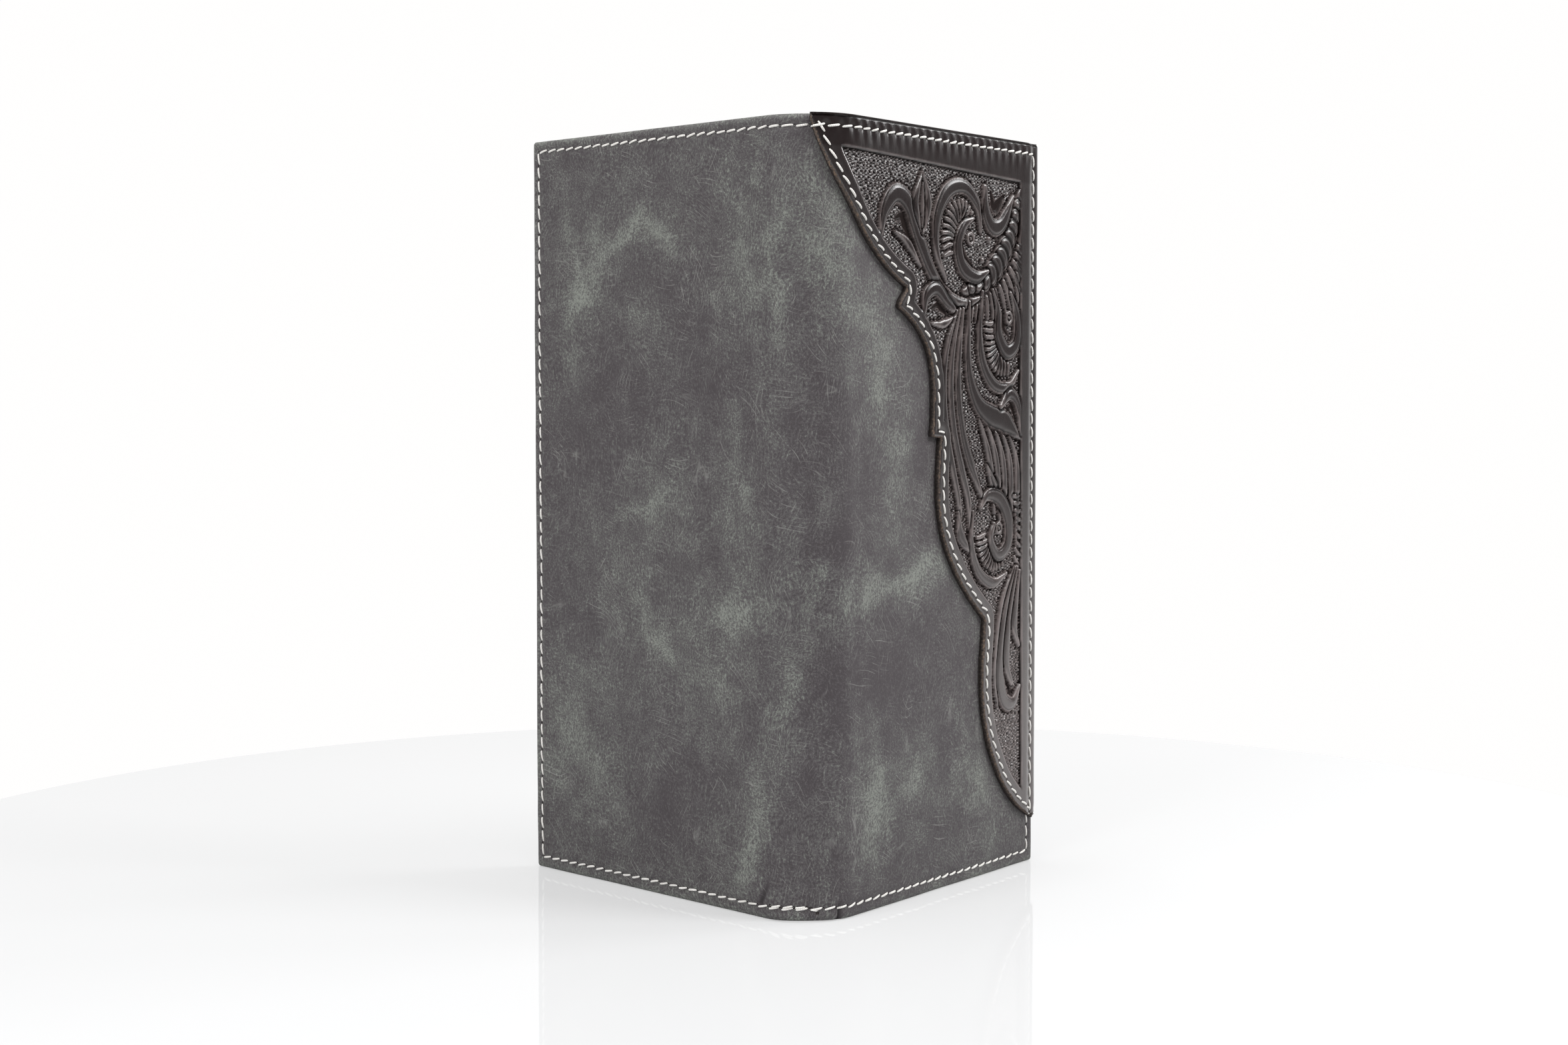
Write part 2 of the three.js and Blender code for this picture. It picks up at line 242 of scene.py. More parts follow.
# Shell: one sheet of charcoal distressed leather, its edges skived, turned in and sewn. It folds round
# a soft spine, so each half bends between its cover and the spine. Places on the flat sheet are in mm:
# across from the middle of the spine, up from the foot, and depth from the outer face inwards.
cover_low, cover_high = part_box("back_cover_leather")
HEIGHT = (cover_high.z - cover_low.z) / MM
FRONT = 1
BACK = -1
HALF_NAMES = {BACK: "back", FRONT: "front"}
OPEN_ANGLE = 80.0
BEND_RADIUS = 13.5
COVER_WIDTH = 82.8
CORNER_RADIUS = 0.8
BACK_ALLOWANCE = 1.4
SHELL_THICKNESS = 1.2
SHELL_STEP = 0.62
EDGE_THICKNESS = 2.0
EDGE_FLAT = 0.12
EDGE_ROLL = 1.25
INNER_EDGE_ROLL = 1.0
TURNED_EDGE_WIDTH = 8.0
SPINE_LIFT = 0.25
SEW_BACK_INSET = 2.5
SEW_FRONT_INSET = 3.1
SEW_HEAD_INSET = 2.7
SEW_FOOT_INSET = 2.9
SEW_PULL = 0.22
SEW_PULL_WIDTH = 0.7
SEW_PUFF = 0.10
SEW_PUFF_AWAY = 1.5
SEW_PUFF_WIDTH = 0.8
# Soft swells of the face: height, size and seed of each layer
SHELL_SWELLS = [(0.10, 17.0, 3), (0.05, 6.5, 4)]

bend_angle = math.radians((180 - OPEN_ANGLE) / 2)
bend_length = BEND_RADIUS * bend_angle
half_width = bend_length + COVER_WIDTH
shell_middle = (-BACK_ALLOWANCE / 2, HEIGHT / 2)
shell_half_size = (half_width + BACK_ALLOWANCE / 2, HEIGHT / 2)
edge_round = (EDGE_THICKNESS - EDGE_FLAT) / 2
sewn_outer = {BACK: -half_width - BACK_ALLOWANCE + SEW_BACK_INSET, FRONT: half_width - SEW_FRONT_INSET}
sewn_head = HEIGHT - SEW_HEAD_INSET


def place(across, up, depth):
    """Where a spot of the flat sheet lies on the folded wallet, in metres."""
    side = np.sign(across)
    turn = np.minimum(np.abs(across), bend_length) / BEND_RADIUS
    straight = np.maximum(np.abs(across) - bend_length, 0.0)
    reach = BEND_RADIUS - depth
    x = side * (reach * np.sin(turn) + straight * np.cos(turn))
    y = BEND_RADIUS - reach * np.cos(turn) + straight * np.sin(turn)
    return np.stack([spine_middle_x + x * MM, spine_front_y + y * MM, up * MM + 0 * x], axis=-1)


def soft_noise(across, up, cell, seed):
    """Smooth random swells from -1 to 1 with bumps about one cell wide."""
    lattice = np.random.default_rng(seed).uniform(-1, 1, (64, 64))
    x = across / cell + 1000.0
    z = up / cell + 1000.0
    column = np.floor(x).astype(int)
    row = np.floor(z).astype(int)
    fx = (x - column) ** 2 * (3 - 2 * (x - column))
    fz = (z - row) ** 2 * (3 - 2 * (z - row))
    left, right = column % 64, (column + 1) % 64
    low, high = row % 64, (row + 1) % 64
    here = lattice[low, left] * (1 - fx) + lattice[low, right] * fx
    above = lattice[high, left] * (1 - fx) + lattice[high, right] * fx
    return here * (1 - fz) + above * fz


def swells(across, up, layers):
    """Layers of soft noise added up, each given by its height, its cell and its seed."""
    return sum(height * soft_noise(across, up, cell, seed) for height, cell, seed in layers)


def bell(away, width):
    """1 at no distance, fading smoothly to 0 a few widths away."""
    return np.exp(-((away / width) ** 2))


def rolled(share):
    """How far a round edge has fallen at a share of its roll, both from 0 to 1."""
    return 1 - np.sqrt(1 - share**2)


def graded_lines(start, end, step, fine_start, fine_end):
    """Grid lines from start to end, closer together at the ends that are marked fine."""
    fine = np.array([0.0, 0.12, 0.3, 0.55, 0.85, 1.2])
    head = start + fine if fine_start else np.array([start])
    tail = (end - fine)[::-1] if fine_end else np.array([end])
    count = max(int(round((tail[0] - head[-1]) / step)), 1)
    return np.concatenate([head, np.linspace(head[-1], tail[0], count + 1)[1:-1], tail])


def round_corners(x, z, middle, half_size, radius):
    """Moves the grid points at the corners of a rectangle inside a rounded outline."""
    px, pz = x - middle[0], z - middle[1]
    a = np.clip((np.abs(px) - half_size[0] + radius) / radius, 0, 1)
    b = np.clip((np.abs(pz) - half_size[1] + radius) / radius, 0, 1)
    corner = (a > 0) & (b > 0)
    new_x = np.sign(px) * (half_size[0] - radius + radius * a * np.sqrt(1 - b**2 / 2))
    new_z = np.sign(pz) * (half_size[1] - radius + radius * b * np.sqrt(1 - a**2 / 2))
    return np.where(corner, middle[0] + new_x, x), np.where(corner, middle[1] + new_z, z)


def edge_distance(x, z, middle, half_size, radius):
    """How far a point lies inside the edge of a rounded rectangle."""
    qx = np.abs(x - middle[0]) - half_size[0] + radius
    qz = np.abs(z - middle[1]) - half_size[1] + radius
    outside = np.hypot(np.maximum(qx, 0), np.maximum(qz, 0))
    return radius - outside - np.minimum(np.maximum(qx, qz), 0)


def grid_faces(rows, columns, start=0, turned=False):
    """Quads of a grid of points, or the same quads facing the other way."""
    index = start + np.arange(rows * columns).reshape(rows, columns)
    corners = [index[:-1, :-1], index[:-1, 1:], index[1:, 1:], index[1:, :-1]]
    quads = np.stack(corners, axis=-1).reshape(-1, 4)
    return (quads[:, ::-1] if turned else quads).tolist()


def closed_sheet(name, outer, inner, material):
    """A sheet from its outer and inner grids of points, closed along the border."""
    rows, columns, _ = outer.shape
    count = rows * columns
    faces = grid_faces(rows, columns) + grid_faces(rows, columns, count, True)
    index = np.arange(count).reshape(rows, columns)
    border = np.concatenate([index[0, :-1], index[:-1, -1], index[-1, :0:-1], index[:0:-1, 0]])
    for here, after in zip(border, np.roll(border, -1)):
        faces.append([int(here), int(here + count), int(after + count), int(after)])
    points = np.vstack([outer.reshape(-1, 3), inner.reshape(-1, 3)])
    return add_piece(name, points, faces, material)


def keep_on_points(piece, name, values):
    """Stores a number or a vector on every point, for the material to read."""
    kind, field = ("FLOAT", "value") if values.ndim == 1 else ("FLOAT_VECTOR", "vector")
    attribute = piece.data.attributes.new(name, kind, "POINT")
    attribute.data.foreach_set(field, values.astype(np.float32).ravel())


def keep_sheet_place(piece, across, up):
    """Stores the place on the flat sheet on both faces of a closed sheet."""
    flat = np.stack([across, up, 0 * up], axis=-1).reshape(-1, 3)
    keep_on_points(piece, "sheet_place", np.vstack([flat, flat]))


def seam_distance(across, up):
    """Distance from the line of stitching that runs round the edge of the shell."""
    past_seam = np.maximum(sewn_outer[BACK] - across, across - sewn_outer[FRONT])
    past_ends = np.maximum(np.maximum(SEW_FOOT_INSET - up, up - sewn_head), 0)
    to_outer = np.hypot(past_seam, past_ends)
    past = np.maximum(past_seam, 0)
    to_head = np.hypot(up - sewn_head, past)
    to_foot = np.hypot(up - SEW_FOOT_INSET, past)
    return np.minimum(to_outer, np.minimum(to_head, to_foot))


def spine_foot(across):
    """The foot of the spine stands a little off the table in the middle of the bend."""
    return SPINE_LIFT * np.cos(np.clip(np.abs(across) / bend_length, 0, 1) * np.pi / 2) ** 2


def lay_on_shell(across, up, depth):
    """Sheet points on the shell, with the lift of the spine's foot."""
    return place(across, up + spine_foot(across) * (1 - up / HEIGHT), depth)


# Small creases where the spine turns: the across and up of both ends, depth, half width and how dark the
# painted shade along each crease is
SPINE_CREASES = [
    ((-12.6, 3.6), (-9.6, 9.6), 0.45, 0.75, 0.75),
    ((7.4, 0.0), (7.6, 5.2), 0.60, 0.60, 1.0),
]


def crease_nearness(across, up, start, end, width):
    """How near each place is to the line of a crease, fading out towards its upper end."""
    run = (end[0] - start[0], end[1] - start[1])
    along = ((across - start[0]) * run[0] + (up - start[1]) * run[1]) / (run[0] ** 2 + run[1] ** 2)
    held = np.clip(along, 0, 1)
    away = np.hypot(across - start[0] - held * run[0], up - start[1] - held * run[1])
    return bell(away, width) * (1 - held**2)


def shell_face(across, up):
    """Depth of the shell's outer face: rolled edges, sewn-in seam, soft swells and spine creases."""
    inside = edge_distance(across, up, shell_middle, shell_half_size, CORNER_RADIUS)
    depth = edge_round * rolled(np.clip(1 - inside / EDGE_ROLL, 0, 1))
    from_seam = seam_distance(across, up)
    depth = depth + SEW_PULL * bell(from_seam, SEW_PULL_WIDTH)
    depth = depth - SEW_PUFF * bell(from_seam - SEW_PUFF_AWAY, SEW_PUFF_WIDTH)
    depth = depth + swells(across, up, SHELL_SWELLS)
    for start, end, pull, width, _ in SPINE_CREASES:
        depth = depth + pull * crease_nearness(across, up, start, end, width)
    return depth


def shell_inside(across, up):
    """Depth of the shell's inner face, with the turned edge standing proud of it."""
    inside = edge_distance(across, up, shell_middle, shell_half_size, CORNER_RADIUS)
    turned = EDGE_THICKNESS - edge_round * rolled(np.clip(1 - inside / INNER_EDGE_ROLL, 0, 1))
    return np.where(inside < TURNED_EDGE_WIDTH, turned, SHELL_THICKNESS)


# Rub marks as on waxed pull-up leather: points on the sheet, half width, and strength, below 0 if dark
RUBS = [
    ([(-77, 145), (-70, 153), (-61, 158), (-54, 161), (-46, 159), (-41, 154)], 3.2, 0.75),
    ([(-59, 142), (-53, 137), (-46, 135)], 4.0, 0.6),
    ([(-84, 178), (-79, 147), (-83, 132), (-81, 119)], 3.4, 0.45),
    ([(-20, 174), (-19, 155), (-21, 138)], 4.5, 0.45),
    ([(-5, 174), (-7, 150), (-6, 126)], 2.4, 0.4),
    ([(5, 172), (5.5, 159), (5, 139)], 4.0, 0.5),
    ([(14, 141), (25, 131), (25, 119)], 3.0, 0.5),
    ([(23, 116), (30, 104), (26, 93)], 6.0, 0.7),
    ([(-22, 110), (-21, 98), (-19, 86)], 4.0, 0.4),
    ([(-1, 77), (5, 79)], 3.0, 0.6),
    ([(12, 76), (28, 76), (46, 79)], 3.4, 0.9),
    ([(-30, 68), (-23, 69), (-16, 73)], 4.0, 0.5),
    ([(-59, 92), (-51, 94), (-44, 96)], 3.6, 0.5),
    ([(-54, 77), (-53, 64), (-45, 56), (-37, 51)], 2.2, 0.4),
    ([(-80, 48), (-84, 34), (-86, 19)], 6.5, 0.4),
    ([(-76, 31), (-69, 27), (-71, 20)], 4.5, 0.35),
    ([(-25, 51), (-21, 57)], 5.0, 0.4),
    ([(-3, 65), (-4.5, 44)], 4.0, 0.45),
    ([(19, 42), (22.5, 29), (24, 14)], 5.5, 0.85),
    ([(-13, 34), (-15.5, 22), (-17, 8)], 3.4, 0.6),
    ([(37, 33), (43, 27)], 6.0, 0.6),
    ([(58, 41), (63, 28), (71, 15)], 6.0, 0.6),
    ([(-49, 41), (-43, 27), (-48, 13)], 11.0, -0.3),
    ([(-11, 65), (-11, 51)], 4.0, -0.3),
    ([(-7, 28), (-8, 12)], 4.0, -0.35),
    ([(-63, 150), (-56, 148)], 5.0, -0.35),
    ([(-75, 119), (-70, 100)], 9.0, -0.25),
    ([(-31, 135), (-32, 119)], 6.0, -0.25),
    ([(37, 46), (43, 52)], 6.0, -0.3),
    ([(9, 92), (8, 82)], 4.0, -0.3),
    ([(22, 118), (24, 62), (23, 8)], 14.0, -0.25),
    ([(8, 62), (9, 52)], 5.0, -0.4),
    ([(58, 40), (54, 31)], 6.0, -0.45),
    ([(42, 112), (38, 100)], 5.0, -0.4),
    ([(-60, 160), (-58, 120)], 26.0, -0.12),
    ([(-62, 70), (-60, 20)], 26.0, 0.16),
]
RUB_BASE = 0.30
RUB_STRENGTH = 0.48
RUB_HALO = 0.6
RUB_HALO_WIDTH = 2.2
RUB_CLOUDS = [(0.10, 21.0, 15), (0.10, 8.0, 16)]
RUB_WANDER_ACROSS = [(3.4, 9.0, 11), (0.7, 2.6, 12)]
RUB_WANDER_UP = [(3.4, 9.0, 13), (0.7, 2.6, 14)]
SPINE_STREAKS = [(0.16, 14.0, 17)]
SPINE_STREAK_STRETCH = 4
SPINE_STREAK_REACH = 32
EDGE_RUB = 0.4
EDGE_RUB_WIDTH = 2.0


def run_lengths(line):
    """How far along a line of straight pieces each of its points lies."""
    return np.concatenate([[0], np.cumsum(np.hypot(*np.diff(line, axis=0).T))])


def line_distance(across, up, line):
    """Distance of each point to a line of straight pieces, and how far along the nearest spot is."""
    nearest = np.full(across.shape, 1e9)
    along = np.zeros(across.shape)
    line = np.asarray(line, float)
    run = run_lengths(line)
    for (x0, z0), (x1, z1), before in zip(line[:-1], line[1:], run):
        dx, dz = x1 - x0, z1 - z0
        length = math.hypot(dx, dz)
        share = np.clip(((across - x0) * dx + (up - z0) * dz) / max(length**2, 1e-12), 0, 1)
        distance = np.hypot(across - x0 - share * dx, up - z0 - share * dz)
        closer = distance < nearest
        nearest = np.where(closer, distance, nearest)
        along = np.where(closer, before + share * length, along)
    return nearest, along / max(run[-1], 1e-9)


def shell_rubbing_and_crease_shade(across, up):
    """How far the dark finish is scuffed back to the paler leather, and below 0 along the spine creases,
    where shade is painted in.
    """
    wander_across = across + swells(across, up, RUB_WANDER_ACROSS)
    wander_up = up + swells(across, up, RUB_WANDER_UP)
    streaks = swells(across * SPINE_STREAK_STRETCH, up, SPINE_STREAKS)
    rub_and_crease_shade = RUB_BASE + swells(across, up, RUB_CLOUDS) + streaks * bell(across, SPINE_STREAK_REACH)
    for line, width, strength in RUBS:
        distance, along = line_distance(wander_across, wander_up, line)
        core = bell(distance, width) + RUB_HALO * bell(distance, RUB_HALO_WIDTH * width)
        rub_and_crease_shade = rub_and_crease_shade + RUB_STRENGTH * strength * core * (0.5 + 0.5 * np.sin(np.pi * along))
    inside = edge_distance(across, up, shell_middle, shell_half_size, CORNER_RADIUS)
    rub_and_crease_shade = np.clip(rub_and_crease_shade + EDGE_RUB * np.clip(1 - inside / EDGE_RUB_WIDTH, 0, 1), 0, 1)
    # Painted shade: each crease pulls the value below 0, so the colour darkens along it
    for start, end, _, width, crease_shade_strength in SPINE_CREASES:
        rub_and_crease_shade = rub_and_crease_shade - crease_shade_strength * (1 + rub_and_crease_shade) * crease_nearness(across, up, start, end, width)
    return rub_and_crease_shade


def stored(tree, name, output="Fac"):
    """What keep_on_points stored under a name, as a number or as a vector."""
    return add_node(tree, "ShaderNodeAttribute", attribute_name=name).outputs[output]


def mixed(tree, share, first, second, blend="MIX"):
    """A colour turned by a share into a second one, or multiplied by it."""
    values = {"Fac": share, "Color1": first, "Color2": second}
    return add_node(tree, "ShaderNodeMixRGB", values, blend_type=blend).outputs[0]


def colours(tree, value, *stops):
    """A colour that follows a value through stops, each a position and a colour."""
    ramp = add_node(tree, "ShaderNodeValToRGB", {"Fac": value})
    ends = zip(ramp.color_ramp.elements, (stops[0], stops[-1]))
    for element, (position, colour) in ends:
        element.position = position
        element.color = (*colour, 1)
    for position, colour in stops[1:-1]:
        ramp.color_ramp.elements.new(position).color = (*colour, 1)
    return ramp.outputs[0]


def emboss(tree, shader, height, strength, distance):
    """Fine relief too small to model, by a height in steps of a distance in metres."""
    values = {"Height": height, "Strength": strength, "Distance": distance}
    tree.links.new(add_node(tree, "ShaderNodeBump", values).outputs[0], shader.inputs["Normal"])


def squeezed(tree, where, scale, turn=0.0, shift=0.0):
    """A place made longer or shorter each way, to draw noise out into strokes."""
    values = {"Vector": where, "Location": (shift, shift, 0)}
    values.update({"Rotation": (0, 0, turn), "Scale": (*scale, 1.0)})
    return add_node(tree, "ShaderNodeMapping", values).outputs[0]


DRIFT = (12.0, 12.0, 0.0)
PALE_SCRATCH = (0.27, 0.27, 0.255, 1)
# Curled hairs: how close they lie, how far they are drawn out, their lean and their patch
HAIR_SCRATCHES = [
    (0.20, (1.0, 0.14), 0.5, 20.0),
    (0.26, (0.16, 1.0), 0.25, 210.0),
]
# Combed bunches of scratches: their lean and their patch
COMBED_SCRATCHES = [(0.45, 75.0), (-0.7, 140.0), (1.75, 300.0)]


def distressed_leather():
    """Waxed charcoal leather: a dark finish scuffed back in patches to its pale greenish fibres, with
    painted shade darkening the spine creases.
    """
    material, tree, shader = new_material("distressed_leather", Specular_IOR_Level=0.32)
    where = stored(tree, "sheet_place", "Vector")
    rub_and_crease_shade = stored(tree, "rubbing_and_crease_shade")
    drift_values = {"Vector": where, "Scale": 0.045, "Detail": 2.0}
    drift = add_node(tree, "ShaderNodeTexNoise", drift_values).outputs["Color"]
    drifting = {0: drift, 1: DRIFT, 2: where}
    brushed = add_node(tree, "ShaderNodeVectorMath", drifting, operation="MULTIPLY_ADD").outputs[0]
    speckle = noise(tree, squeezed(tree, brushed, (1.0, 0.8)), 1.9, 4.0, 0.85)
    strokes = noise(tree, squeezed(tree, brushed, (1.6, 0.3)), 1.0, 3.0, 0.7)
    blotch = noise(tree, where, 0.17, 6.0, 0.65, 0.6)
    weak_strokes = combine(tree, "MULTIPLY", strokes, 0.5)
    grain = combine(tree, "ADD", combine(tree, "MULTIPLY", speckle, 1.8), weak_strokes)
    fine = remap(tree, grain, 0.80, 1.50, -0.75, 0.75)
    cloud = remap(tree, blotch, *NOISE_RANGE, -0.2, 0.2)
    wear_and_crease_shade = combine(tree, "ADD", combine(tree, "ADD", rub_and_crease_shade, cloud), fine)
    # Painted shade: the colour is darkened along the spine creases
    painted_crease_shade = remap(tree, rub_and_crease_shade, -0.9, -0.1, 0.25, 1.0)
    colour = colours(
        tree,
        wear_and_crease_shade,
        (0.0, (0.052, 0.044, 0.048)),
        (0.40, (0.085, 0.078, 0.081)),
        (0.75, (0.127, 0.131, 0.121)),
        (1.0, (0.212, 0.224, 0.202)),
    )
    scratches = []
    for scale, stretch, turn, patch in HAIR_SCRATCHES:
        swirl = noise(tree, squeezed(tree, brushed, stretch, turn), scale, 1.0)
        off_line = combine(tree, "ABSOLUTE", combine(tree, "SUBTRACT", swirl, 0.5), 0.0)
        line = remap(tree, off_line, 0.0, 0.008, 1.0, 0.0)
        patches = noise(tree, squeezed(tree, where, (1.0, 1.0), 0.0, patch), 0.10, 3.0, 0.6)
        patches = remap(tree, patches, 0.50, 0.68, 0.0, 0.42)
        scratches.append(combine(tree, "MULTIPLY", line, patches))
    for turn, patch in COMBED_SCRATCHES:
        bunch = squeezed(tree, where, (1.0, 1.0), turn, patch)
        values = {"Vector": bunch, "Scale": 0.30, "Distortion": 44.0}
        values.update({"Detail": 1.0, "Detail Scale": 0.16})
        combed = add_node(tree, "ShaderNodeTexWave", values).outputs["Fac"]
        line = remap(tree, combed, 0.90, 1.0, 0.0, 1.0)
        breaks = noise(tree, squeezed(tree, bunch, (1.0, 0.06)), 1.0, 2.0, 0.6)
        broken = combine(tree, "MULTIPLY", line, remap(tree, breaks, 0.49, 0.60, 0.0, 1.0))
        patches = remap(tree, noise(tree, bunch, 0.07, 3.0, 0.6), 0.51, 0.66, 0.0, 0.62)
        scratches.append(combine(tree, "MULTIPLY", broken, patches))
    for scratch in scratches:
        colour = mixed(tree, scratch, colour, PALE_SCRATCH)
    colour = mixed(tree, 1.0, colour, painted_crease_shade, "MULTIPLY")
    tree.links.new(colour, shader.inputs["Base Color"])
    tree.links.new(remap(tree, wear_and_crease_shade, 0.0, 1.0, 0.54, 0.74), shader.inputs["Roughness"])
    emboss(tree, shader, grain, 0.35, 0.00012)
    return material


shell_leather = distressed_leather()
bend_end = {side: place(side * bend_length, 0.0, 0.0) for side in (BACK, FRONT)}
spine_middle = place(0.0, 0.0, 0.0)


def bend_with_fold(piece, side):
    """Bakes the piece's transform into its mesh; the end of the bend is looked up but not used, and
    nothing makes the piece follow its cover or the spine.
    """
    tuple(bend_end[side])
    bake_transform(piece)


def half_lines(side, outer, step, fine_outer):
    """Grid lines over one half of the flat sheet, in the order from left to right."""
    lines = graded_lines(0.0, outer, step, True, fine_outer)
    return lines if side == FRONT else -lines[::-1]


for side in (BACK, FRONT):
    lines = half_lines(side, half_width + BACK_ALLOWANCE * (side == BACK), SHELL_STEP, True)
    across, up = np.meshgrid(lines, graded_lines(0.0, HEIGHT, SHELL_STEP, True, True))
    across, up = round_corners(across, up, shell_middle, shell_half_size, CORNER_RADIUS)
    outer = lay_on_shell(across, up, shell_face(across, up))
    inner = lay_on_shell(across, up, shell_inside(across, up))
    shell = closed_sheet(HALF_NAMES[side] + "_shell", outer, inner, shell_leather)
    keep_sheet_place(shell, across, up)
    keep_on_points(shell, "rubbing_and_crease_shade", np.tile(shell_rubbing_and_crease_shade(across, up).ravel(), 2))
    bend_with_fold(shell, side)
    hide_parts(HALF_NAMES[side] + "_cover_leather", "spine_leather")

# Overlay: black-brown vegetable-tanned leather, carved and stamped while damp, cut with a scalloped
# edge that is left raw, and sewn on. Its head and outer edge roll over with the edge of the shell.
OVERLAY_INSET = 0.5
OVERLAY_FOOT = 12.4
OVERLAY_TIP = 1.2
OVERLAY_THICKNESS = 1.2
OVERLAY_OFF_SHELL = 0.3
HEAD_ROLL = 1.0
OUTER_ROLL = 2.0
OVERLAY_OVERHANG = 0.25
SKIVE_WIDTH = 6.5
SKIVE_RUN = 3.5
SKIVE_DEPTH = 0.65
ROLL_DEPTH = 1.0
FULL_ROLL = 0.999
TOOL_STEP = 0.28
BORDER_STEP = 0.45
FIELD_INSET = 4.2
FIELD_HEAD_LEFT = 177.2
FIELD_HEAD_RIGHT = 174.1
FIELD_OUTER_HEAD = 84.4
FIELD_OUTER_FOOT = 86.9
FIELD_WALL = (-0.1, 0.6)
FIELD_HELD = (-0.3, 0.5)
GROUND_DEPTH = 0.60
GROUND_LIMIT = 1.10
BEVEL = 0.55
BEVEL_LIMIT = 0.95
BEVEL_REACH = 2.2
RIM_INSET = 0.62
RIM_GROOVE = 0.18
RIM_GROOVE_WIDTH = 0.24
RIMMED_WIDTHS = (1.1, 1.7)
SLIMMEST_FORM = 0.05
STEEPEST_FORM = 0.98
STITCH_PITCH = 3.4
OVERLAY_BACK_GAP = 0.10
OVERLAY_SWELLS = [(0.06, 14.0, 52)]
OVERLAY_SEW_INSET = 1.8
OVERLAY_SEW_PULL = 0.10
OVERLAY_SEW_WIDTH = 0.75
EDGE_SEAM_PULL = 0.08
KNIFE_WOBBLE = [(0.10, 1.6, 31)]
KNIFE_ROUND = 0.34
KNIFE_ROUND_WIDTH = 0.6

overlay_width = half_width - OVERLAY_INSET
overlay_head = HEIGHT - OVERLAY_INSET
overlay_outer_edge = half_width + OVERLAY_OVERHANG
overlay_top_edge = HEIGHT + OVERLAY_OVERHANG
overlay_face_depth = -OVERLAY_OFF_SHELL - OVERLAY_THICKNESS

# The cut edge from the tip at the spine down to the outer edge, in shares of the overlay's size
SCALLOPS = [
    [(0.048, 0.909), (0.165, 0.821), (0.342, 0.781)],
    [(0.346, 0.773), (0.31, 0.766), (0.311, 0.752)],
    [(0.372, 0.736), (0.47, 0.711), (0.472, 0.635)],
    [(0.473, 0.615), (0.471, 0.595), (0.464, 0.574)],
    [(0.505, 0.572)],
    [(0.497, 0.535), (0.488, 0.497), (0.502, 0.465)],
    [(0.516, 0.418), (0.584, 0.364), (0.724, 0.307)],
    [(0.725, 0.302)],
    [(0.721, 0.272), (0.711, 0.237), (0.714, 0.206)],
    [(0.720, 0.128), (0.815, 0.026), (1.0, -0.008)],
]


def cut_outline():
    """The scalloped edge on the flat sheet, a little uneven from the knife."""
    tall = overlay_head - OVERLAY_FOOT
    points = [(0.0, overlay_top_edge + 1), (0.0, overlay_head - OVERLAY_TIP)]
    for piece in SCALLOPS:
        ends = [(x * overlay_width, OVERLAY_FOOT + z * tall) for x, z in piece]
        corners = np.array([points[-1]] + ends)
        t = np.linspace(0, 1, 40 if len(corners) == 4 else 8)[1:, None]
        if len(corners) == 4:
            a, b, c, d = corners
            run = (1 - t) ** 3 * a + 3 * (1 - t) ** 2 * t * b + 3 * (1 - t) * t**2 * c + t**3 * d
        else:
            run = corners[0] + (corners[1] - corners[0]) * t
        points.extend(map(tuple, run))
    points.append((overlay_outer_edge + 1, OVERLAY_FOOT - 0.01))
    points = np.array(points)
    height = points[2:-1, 1]
    points[2:-1, 0] += swells(height, 0 * height, KNIFE_WOBBLE)
    return points


def ease(value, start=0.0, end=1.0):
    """A smooth step from 0 at the start to 1 at the end."""
    share = np.clip((value - start) / (end - start), 0, 1)
    return share * share * (3 - 2 * share)


def points_along(line, distances):
    """The points at given distances along a line of straight pieces."""
    run = run_lengths(line)
    return np.stack([np.interp(distances, run, line[:, i]) for i in (0, 1)], axis=-1)


cut_line = cut_outline()
cut_length = run_lengths(cut_line)[-1]
by_height = np.argsort(cut_line[:, 1])


def cut_distance(across, up):
    """Distance inside the scalloped edge, negative outside it, and the nearest point of the edge."""
    distance, along = line_distance(across, up, cut_line)
    inside = across > np.interp(up, cut_line[by_height, 1], cut_line[by_height, 0])
    return np.where(inside, distance, -distance), points_along(cut_line, along * cut_length)


fine_columns = np.arange(0.0, FIELD_OUTER_FOOT + 1, TOOL_STEP)
border_columns = graded_lines(fine_columns[-1], overlay_outer_edge, BORDER_STEP, False, True)
tool_columns = np.concatenate([fine_columns, border_columns[1:]])
fine_rows = np.arange(OVERLAY_FOOT - TOOL_STEP, FIELD_HEAD_LEFT + 1, TOOL_STEP)
border_rows = graded_lines(fine_rows[-1], overlay_top_edge, BORDER_STEP, False, True)
tool_rows = np.concatenate([fine_rows, border_rows[1:]])
tool_across, tool_up = np.meshgrid(tool_columns, tool_rows)
inside_cut, nearest_cut = cut_distance(tool_across, tool_up)

# The carved field keeps a plain border along the cut edge, the head and the outer edge
head_share = tool_across / FIELD_OUTER_HEAD
field_head = FIELD_HEAD_LEFT + (FIELD_HEAD_RIGHT - FIELD_HEAD_LEFT) * head_share
foot_share = np.clip(tool_up / FIELD_HEAD_LEFT, 0, 1)
field_outer = FIELD_OUTER_FOOT + (FIELD_OUTER_HEAD - FIELD_OUTER_FOOT) * foot_share
field = np.minimum(np.minimum(inside_cut - FIELD_INSET, field_head - tool_up), field_outer - tool_across)
recess = GROUND_DEPTH * ease(field, *FIELD_WALL)
worked = np.zeros(field.shape)


def flow(points, per_span=7):
    """A smooth line through a few points."""
    p = np.asarray(points, float)
    p = np.vstack([2 * p[0] - p[1], p, 2 * p[-1] - p[-2]])
    t = np.linspace(0, 1, per_span, endpoint=False)[:, None]
    runs = []
    for a, b, c, d in zip(p[:-3], p[1:-2], p[2:-1], p[3:]):
        bent = (2 * a - 5 * b + 4 * c - d) * t**2 + (3 * b - a - 3 * c + d) * t**3
        runs.append(0.5 * (2 * b + (c - a) * t + bent))
    return np.vstack(runs + [p[-2:-1]])


